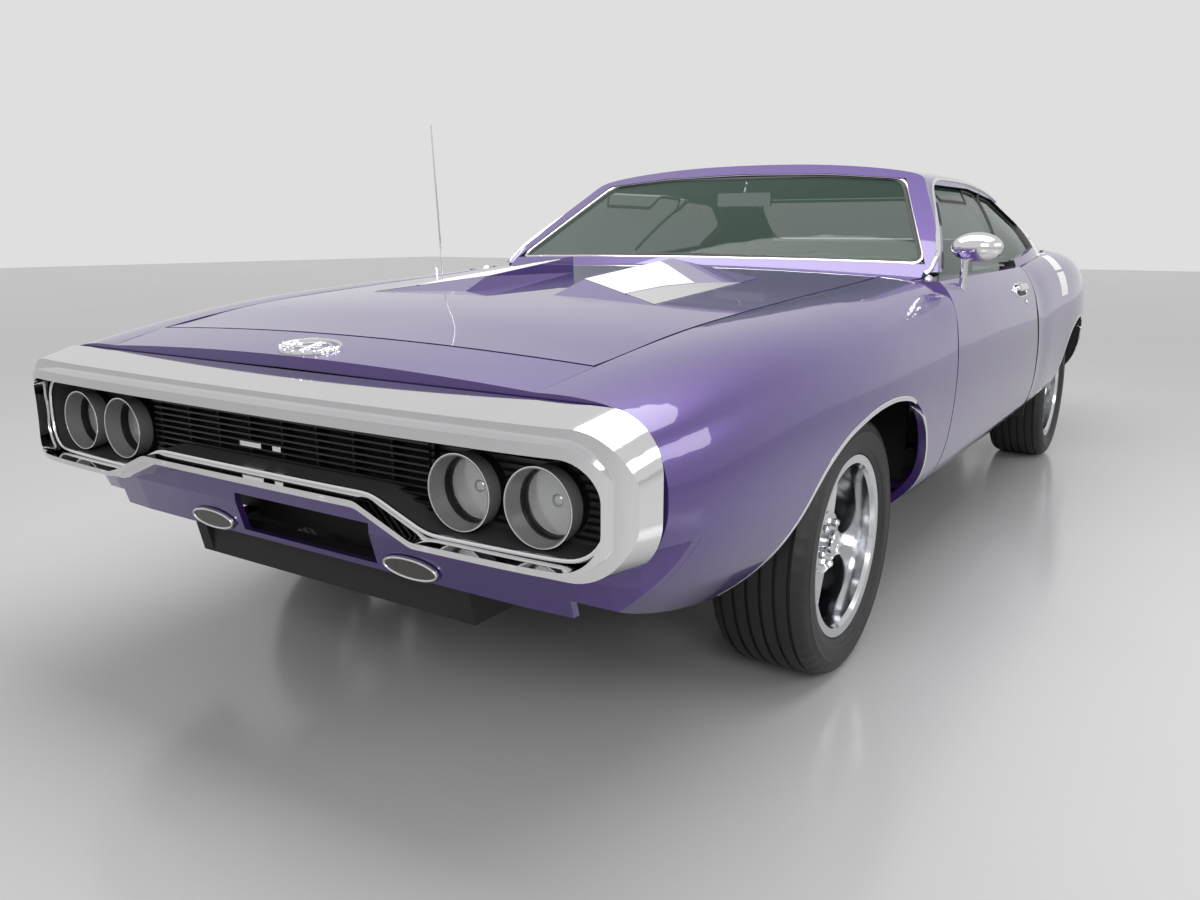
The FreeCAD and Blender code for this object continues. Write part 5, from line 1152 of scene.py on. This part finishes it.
# Node, cushion, back, lowest and highest y, number of sewn channels
CUSHIONS = (
    ("seat_front_left", FRONT_CUSHION, FRONT_BACK, 0.172, 0.693, 4),
    ("seat_front_right", FRONT_CUSHION, FRONT_BACK, -0.693, -0.172, 4),
    ("seat_rear", REAR_CUSHION, REAR_BACK, -0.536, 0.536, 8),
)
CUSHION_INSET, CUSHION_SWELL = 0.010, 0.014
PRESSURE, FRAMES = 4.0, 20
SEAM_MARGIN, SEAM_WIDTH, SEAM_DEPTH, SEAM_SLACK = 0.05, 0.008, 0.007, 0.004


def cushion(name, profile, low, high):
    """A remeshed prism of a side profile, ready to swell."""
    profile = shrunk(profile, CUSHION_INSET)
    ends = (low + CUSHION_INSET, high - CUSHION_INSET)
    prism = Stock().rings([[Vector((x, y, z)) for x, z in profile] for y in ends])
    obj = prism.make(name, "seat_vinyl")
    remesh = obj.modifiers.new("remesh", "REMESH")
    remesh.mode = "VOXEL"
    remesh.voxel_size = sizes().voxel
    settle(obj)
    return obj


def settle(obj):
    """Replaces the mesh by what its modifiers make of it, and takes them off."""
    graph = bpy.context.evaluated_depsgraph_get()
    mesh = bpy.data.meshes.new_from_object(obj.evaluated_get(graph))
    obj.modifiers.clear()
    obj.data = mesh


def swell(objects):
    """Lets pressure swell the cushions together, within a cap, and keeps the result."""
    rest = {obj: [v.co.copy() for v in obj.data.vertices] for obj in objects}
    for obj in objects:
        cloth = obj.modifiers.new("cloth", "CLOTH")
        cloth.settings.use_pressure = True
        cloth.settings.uniform_pressure_force = PRESSURE
        cloth.settings.effector_weights.gravity = 0.0
        cloth.point_cache.frame_start, cloth.point_cache.frame_end = 1, FRAMES
    for number in range(1, FRAMES + 1):
        bpy.context.scene.frame_set(number)
    for obj in objects:
        settle(obj)
        for vertex, origin in zip(obj.data.vertices, rest[obj]):
            move = vertex.co - origin
            if move.length > CUSHION_SWELL:
                vertex.co = origin + move.normalized() * CUSHION_SWELL
    bpy.context.scene.frame_set(1)


def sew(obj, low, high, count):
    """Presses sewn channels into a cushion."""
    pitch = (high - low - 2 * SEAM_MARGIN) / count
    presses = []
    for vertex in obj.data.vertices:
        y = vertex.co.y - low - SEAM_MARGIN
        inside = -SEAM_SLACK <= y <= pitch * count + SEAM_SLACK
        away = abs(y - round(y / pitch) * pitch) / SEAM_WIDTH
        depth = SEAM_DEPTH * math.exp(-away ** 2) if inside else 0.0
        presses.append(vertex.normal * depth)
    for vertex, press in zip(obj.data.vertices, presses):
        vertex.co -= press


def seats():
    made = []
    for seat, base, back, low, high, count in CUSHIONS:
        for part, profile in (("cushion", base), ("back", back)):
            obj = cushion(f"{seat}_{part}", profile, low, high)
            made.append((obj, low, high, count))
            if part == "cushion":
                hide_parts(seat)
    swell([obj for obj, *_ in made])
    for obj, low, high, count in made:
        sew(obj, low, high, count)
        thin = obj.modifiers.new("thin", "DECIMATE")
        thin.ratio = sizes().seat_share
        settle(obj)
        smooth = obj.modifiers.new("subdivision", "SUBSURF")
        smooth.levels = smooth.render_levels = 1
        obj.data.materials.clear()
        obj.data.materials.append(finish_named("seat_vinyl"))
        obj.data.polygons.foreach_set("use_smooth", [True] * len(obj.data.polygons))


# Blocks under each front seat: x, y and z from and to
SEAT_BLOCKS = (((-0.36, 0.14), (0.215, 0.255), (0.281, 0.330)),
               ((-0.36, 0.14), (0.610, 0.650), (0.281, 0.330)),
               ((-0.34, 0.13), (0.185, 0.680), (0.300, 0.350)))


def seat_bases():
    """Aprons and runners under the front seats."""
    stock = Stock()
    for _, sign in SIDES:
        for (x0, x1), (y0, y1), levels in SEAT_BLOCKS:
            corners = [(x0, y0), (x1, y0), (x1, y1), (x0, y1)]
            stock.rings([[Vector((x, sign * y, z)) for x, y in corners] for z in levels])
    stock.make("seat_bases", "chassis_black", smooth=False)


# Camera, lamps and floor

SENSOR_WIDTH, IMAGE_WIDTH, VIEW_END = 36.0, 1200.0, 100.0
FLOOR_CORNERS = ((-30, -30, 0), (30, -30, 0), (30, 30, 0), (-30, 30, 0))
# Lamps: name, place, aim, size and power in watts
LAMPS = (
    ("lamp_top", (0.8, 0.0, 4.2), (0.3, 0, 0), (6.0, 3.0), 210.0),
    ("lamp_front", (6.0, 3.5, 3.2), (1.0, 0, 0.5), (3.0, 2.0), 110.0),
    ("lamp_side", (0.0, 6.0, 3.0), (0.0, 0, 0.5), (5.0, 1.6), 90.0),
)
SKY_STRENGTH, SKY_SEEN = 0.62, 0.28


def camera():
    place = bpy.context.scene.car_camera
    pitch, yaw, roll = place.pitch, place.yaw, place.roll
    ahead = Vector((math.cos(pitch) * math.cos(yaw), math.cos(pitch) * math.sin(yaw),
                    math.sin(pitch)))
    right = ahead.cross(Z).normalized()
    up = right.cross(ahead)
    turned_right = right * math.cos(roll) + up * math.sin(roll)
    turned_up = up * math.cos(roll) - right * math.sin(roll)
    data = bpy.data.cameras.new("camera")
    data.sensor_width = SENSOR_WIDTH
    data.lens = place.focal / IMAGE_WIDTH * data.sensor_width
    data.clip_end = VIEW_END
    obj = bpy.data.objects.new("camera", data)
    axes = Matrix((turned_right, turned_up, -ahead)).transposed()
    obj.matrix_world = Matrix.Translation(place.location) @ axes.to_4x4()
    bpy.context.scene.collection.objects.link(obj)
    bpy.context.scene.camera = obj


def lamp(name, place, aim, size, power):
    data = bpy.data.lights.new(name, "AREA")
    data.shape = "RECTANGLE"
    data.size, data.size_y = size
    data.energy = power
    obj = bpy.data.objects.new(name, data)
    obj.location = place
    obj.rotation_euler = (Vector(aim) - Vector(place)).to_track_quat("-Z", "Y").to_euler()
    bpy.context.scene.collection.objects.link(obj)


def studio():
    """A pale floor under a pale sky that looks brighter than it lights, and three lamps."""
    scene = bpy.context.scene
    scene.view_settings.view_transform = "Standard"
    mesh = bpy.data.meshes.new("floor")
    mesh.from_pydata(FLOOR_CORNERS, [], [(0, 1, 2, 3)])
    floor = bpy.data.objects.new("floor", mesh)
    scene.collection.objects.link(floor)
    finish = Finish("stage_floor")
    cloud = finish.noise(scale=0.6)
    mesh.materials.append(finish.shade(Base_Color=finish.mix(cloud, grey(0.46), grey(0.52)),
                                       Roughness=cloud * 0.06 + 0.14))
    world = bpy.data.worlds.new("studio")
    scene.world = world
    world.use_nodes = True
    sky = Tree(world.node_tree)
    path = sky.add("ShaderNodeLightPath")
    seen = path.out("Is Camera Ray") + path.out("Is Glossy Ray") + path.out("Is Transmission Ray")
    strength = (seen > 0.5) * SKY_SEEN + SKY_STRENGTH
    sky.set(sky.nodes["Background"], {"Color": grey(0.82), "Strength": strength})
    for each in LAMPS:
        lamp(*each)


# Settings

def colour(name, words, default):
    return FloatVectorProperty(name=name, description=words, default=default, subtype="COLOR",
                               min=0, max=1)


def length(name, words, default):
    return FloatProperty(name=name, description=words, default=default, unit="LENGTH",
                         precision=4)


def angle(name, words, default):
    return FloatProperty(name=name, description=words, default=default, unit="ROTATION")


class CarColours(bpy.types.PropertyGroup):
    """Colours that a user may change."""

    paint_deep: colour("Paint, deep", "Paint between the flakes", (0.042, 0.016, 0.130))
    paint_bright: colour("Paint, bright", "Paint on the flakes", (0.098, 0.046, 0.270))
    paint_soft: colour("Paint, soft", "Slow drift of the paint's tone", (0.110, 0.060, 0.240))
    film: colour("Film", "Film on the scoops and the rear pillars", (0.80, 0.80, 0.79))
    vinyl: colour("Vinyl", "Seat vinyl", (0.012, 0.012, 0.013))


class CarSizes(bpy.types.PropertyGroup):
    """Sizes that a user may change."""

    stripe_segments: IntProperty(name="Stripe segments", default=5, min=1,
                                 description="White segments on each rear pillar")
    stripe_width: length("Stripe width", "Width of the pillar stripe", 0.135)
    stripe_gap: length("Stripe gap", "Gap between two stripe segments", 0.012)
    film_rear: length("Film rear", "Where the scoop's white film ends behind", 1.0504)
    film_split: length("Film split", "Where the scoop's white film meets the silver", 0.6031)
    film_paint: length("Film paint", "Where the silver meets the painted corner", 0.874)
    # Behind this depth the bezels are black, painted shade in the well
    bezel_well: length("Bezel well", "Behind this, the bezels are black", 2.470)
    voxel: length("Voxel", "Voxel size for the cushions", 0.008)
    tyre_steps: IntProperty(name="Tyre steps", default=144, min=24,
                            description="Steps round each tyre")
    seat_share: FloatProperty(name="Seat share", default=0.3, min=0, max=1, subtype="FACTOR",
                              description="Share of the cushions' faces that is kept")


class CarCamera(bpy.types.PropertyGroup):
    """The camera's place, on which the photograph's view depends."""

    location: FloatVectorProperty(name="Location", description="The camera's place", size=3,
                                  default=(3.752088, 1.646187, 1.068776), unit="LENGTH",
                                  subtype="TRANSLATION")
    yaw: angle("Yaw", "Turn about the vertical", 3.7238)
    pitch: angle("Pitch", "Tilt down", -0.2207)
    roll: angle("Roll", "Turn about the view", 0.0019)
    focal: FloatProperty(name="Focal length", default=966.5797,
                         description="In pixels of a 1200 wide image")


# Operators

class CAR_OT_finishes(bpy.types.Operator):
    """Give every CAD node its finish."""
    bl_idname = "car.finishes"
    bl_label = "Finishes"

    def execute(self, context):
        dress_nodes()
        return {"FINISHED"}


class CAR_OT_window_trim(bpy.types.Operator):
    """Mouldings and seals of the windshield and the rear window."""
    bl_idname = "car.window_trim"
    bl_label = "Window Trim"

    def execute(self, context):
        window_trim()
        return {"FINISHED"}


class CAR_OT_side_trim(bpy.types.Operator):
    """Drip rails, side window seals and pillar feet."""
    bl_idname = "car.side_trim"
    bl_label = "Side Trim"

    def execute(self, context):
        side_trim()
        pillar_feet()
        return {"FINISHED"}


class CAR_OT_arch_lips(bpy.types.Operator):
    """Bright lips round the wheel arches."""
    bl_idname = "car.arch_lips"
    bl_label = "Arch Lips"

    def execute(self, context):
        arch_lips()
        return {"FINISHED"}


class CAR_OT_bumper_trim(bpy.types.Operator):
    """Bead and gap round the bumper's mouth, and its bolts."""
    bl_idname = "car.bumper_trim"
    bl_label = "Bumper Trim"

    def execute(self, context):
        mouth_trim()
        bumper_bolts()
        return {"FINISHED"}


class CAR_OT_headlamps(bpy.types.Operator):
    """Headlamps with rings, bowls and fluted glass."""
    bl_idname = "car.headlamps"
    bl_label = "Headlamps"

    def execute(self, context):
        headlamps()
        return {"FINISHED"}


class CAR_OT_grille(bpy.types.Operator):
    """Bars behind the lamps and the bare plate on the grille."""
    bl_idname = "car.grille"
    bl_label = "Grille Details"

    def execute(self, context):
        grille_wings()
        grille_plate()
        return {"FINISHED"}


class CAR_OT_small_lamps(bpy.types.Operator):
    """Rims of the parking lamps and frames of the tail lamps."""
    bl_idname = "car.small_lamps"
    bl_label = "Small Lamps"

    def execute(self, context):
        small_lamp_rims()
        return {"FINISHED"}


class CAR_OT_emblem(bpy.types.Operator):
    """Plain oval emblem on the nose."""
    bl_idname = "car.emblem"
    bl_label = "Nose Emblem"

    def execute(self, context):
        emblem()
        return {"FINISHED"}


class CAR_OT_handles(bpy.types.Operator):
    """Door handles and locks."""
    bl_idname = "car.handles"
    bl_label = "Door Handles"

    def execute(self, context):
        handles()
        return {"FINISHED"}


class CAR_OT_stripes(bpy.types.Operator):
    """White film segments on the rear pillars."""
    bl_idname = "car.stripes"
    bl_label = "Pillar Stripes"

    def execute(self, context):
        stripes()
        return {"FINISHED"}


class CAR_OT_wheels(bpy.types.Operator):
    """Tyres with tread, lug nuts and cap rings."""
    bl_idname = "car.wheels"
    bl_label = "Wheels"

    def execute(self, context):
        tyres()
        lug_nuts()
        return {"FINISHED"}


class CAR_OT_small_parts(bpy.types.Operator):
    """Mirror glass, antenna base, cowl vents and trunk lock."""
    bl_idname = "car.small_parts"
    bl_label = "Small Parts"

    def execute(self, context):
        mirror_glass()
        antenna_base()
        cowl_vents()
        trunk_lock()
        return {"FINISHED"}


class CAR_OT_cabin(bpy.types.Operator):
    """Door cards and dash details."""
    bl_idname = "car.cabin"
    bl_label = "Cabin"

    def execute(self, context):
        door_cards()
        dash_details()
        return {"FINISHED"}


class CAR_OT_seats(bpy.types.Operator):
    """Seats as soft goods, on their bases."""
    bl_idname = "car.seats"
    bl_label = "Seats"

    def execute(self, context):
        seats()
        seat_bases()
        return {"FINISHED"}


class CAR_OT_stage(bpy.types.Operator):
    """Floor, lamps and camera."""
    bl_idname = "car.stage"
    bl_label = "Stage"

    def execute(self, context):
        studio()
        camera()
        return {"FINISHED"}


STEPS = (CAR_OT_finishes, CAR_OT_window_trim, CAR_OT_side_trim, CAR_OT_arch_lips,
         CAR_OT_bumper_trim, CAR_OT_headlamps, CAR_OT_grille, CAR_OT_small_lamps,
         CAR_OT_emblem, CAR_OT_handles, CAR_OT_stripes, CAR_OT_wheels, CAR_OT_small_parts,
         CAR_OT_cabin, CAR_OT_seats, CAR_OT_stage)
GROUPS = (("car_colours", CarColours), ("car_sizes", CarSizes), ("car_camera", CarCamera))


class CAR_PT_dressing(bpy.types.Panel):
    """Lists the settings and the steps of the dressing."""
    bl_idname = "CAR_PT_dressing"
    bl_label = "Muscle Car Dressing"
    bl_space_type = "VIEW_3D"
    bl_region_type = "UI"
    bl_category = "Muscle Car"

    def draw(self, context):
        for name, group in GROUPS:
            for setting in group.__annotations__:
                self.layout.prop(getattr(context.scene, name), setting)
        for each in STEPS:
            self.layout.operator(each.bl_idname)


def register():
    for name, group in GROUPS:
        bpy.utils.register_class(group)
        setattr(bpy.types.Scene, name, PointerProperty(type=group))
    for each in STEPS + (CAR_PT_dressing,):
        bpy.utils.register_class(each)


def unregister():
    for each in reversed(STEPS + (CAR_PT_dressing,)):
        bpy.utils.unregister_class(each)
    for name, group in GROUPS:
        delattr(bpy.types.Scene, name)
        bpy.utils.unregister_class(group)


def main():
    register()
    for each in STEPS:
        getattr(bpy.ops.car, each.bl_idname.split(".")[1])()


if __name__ == "__main__":
    main()
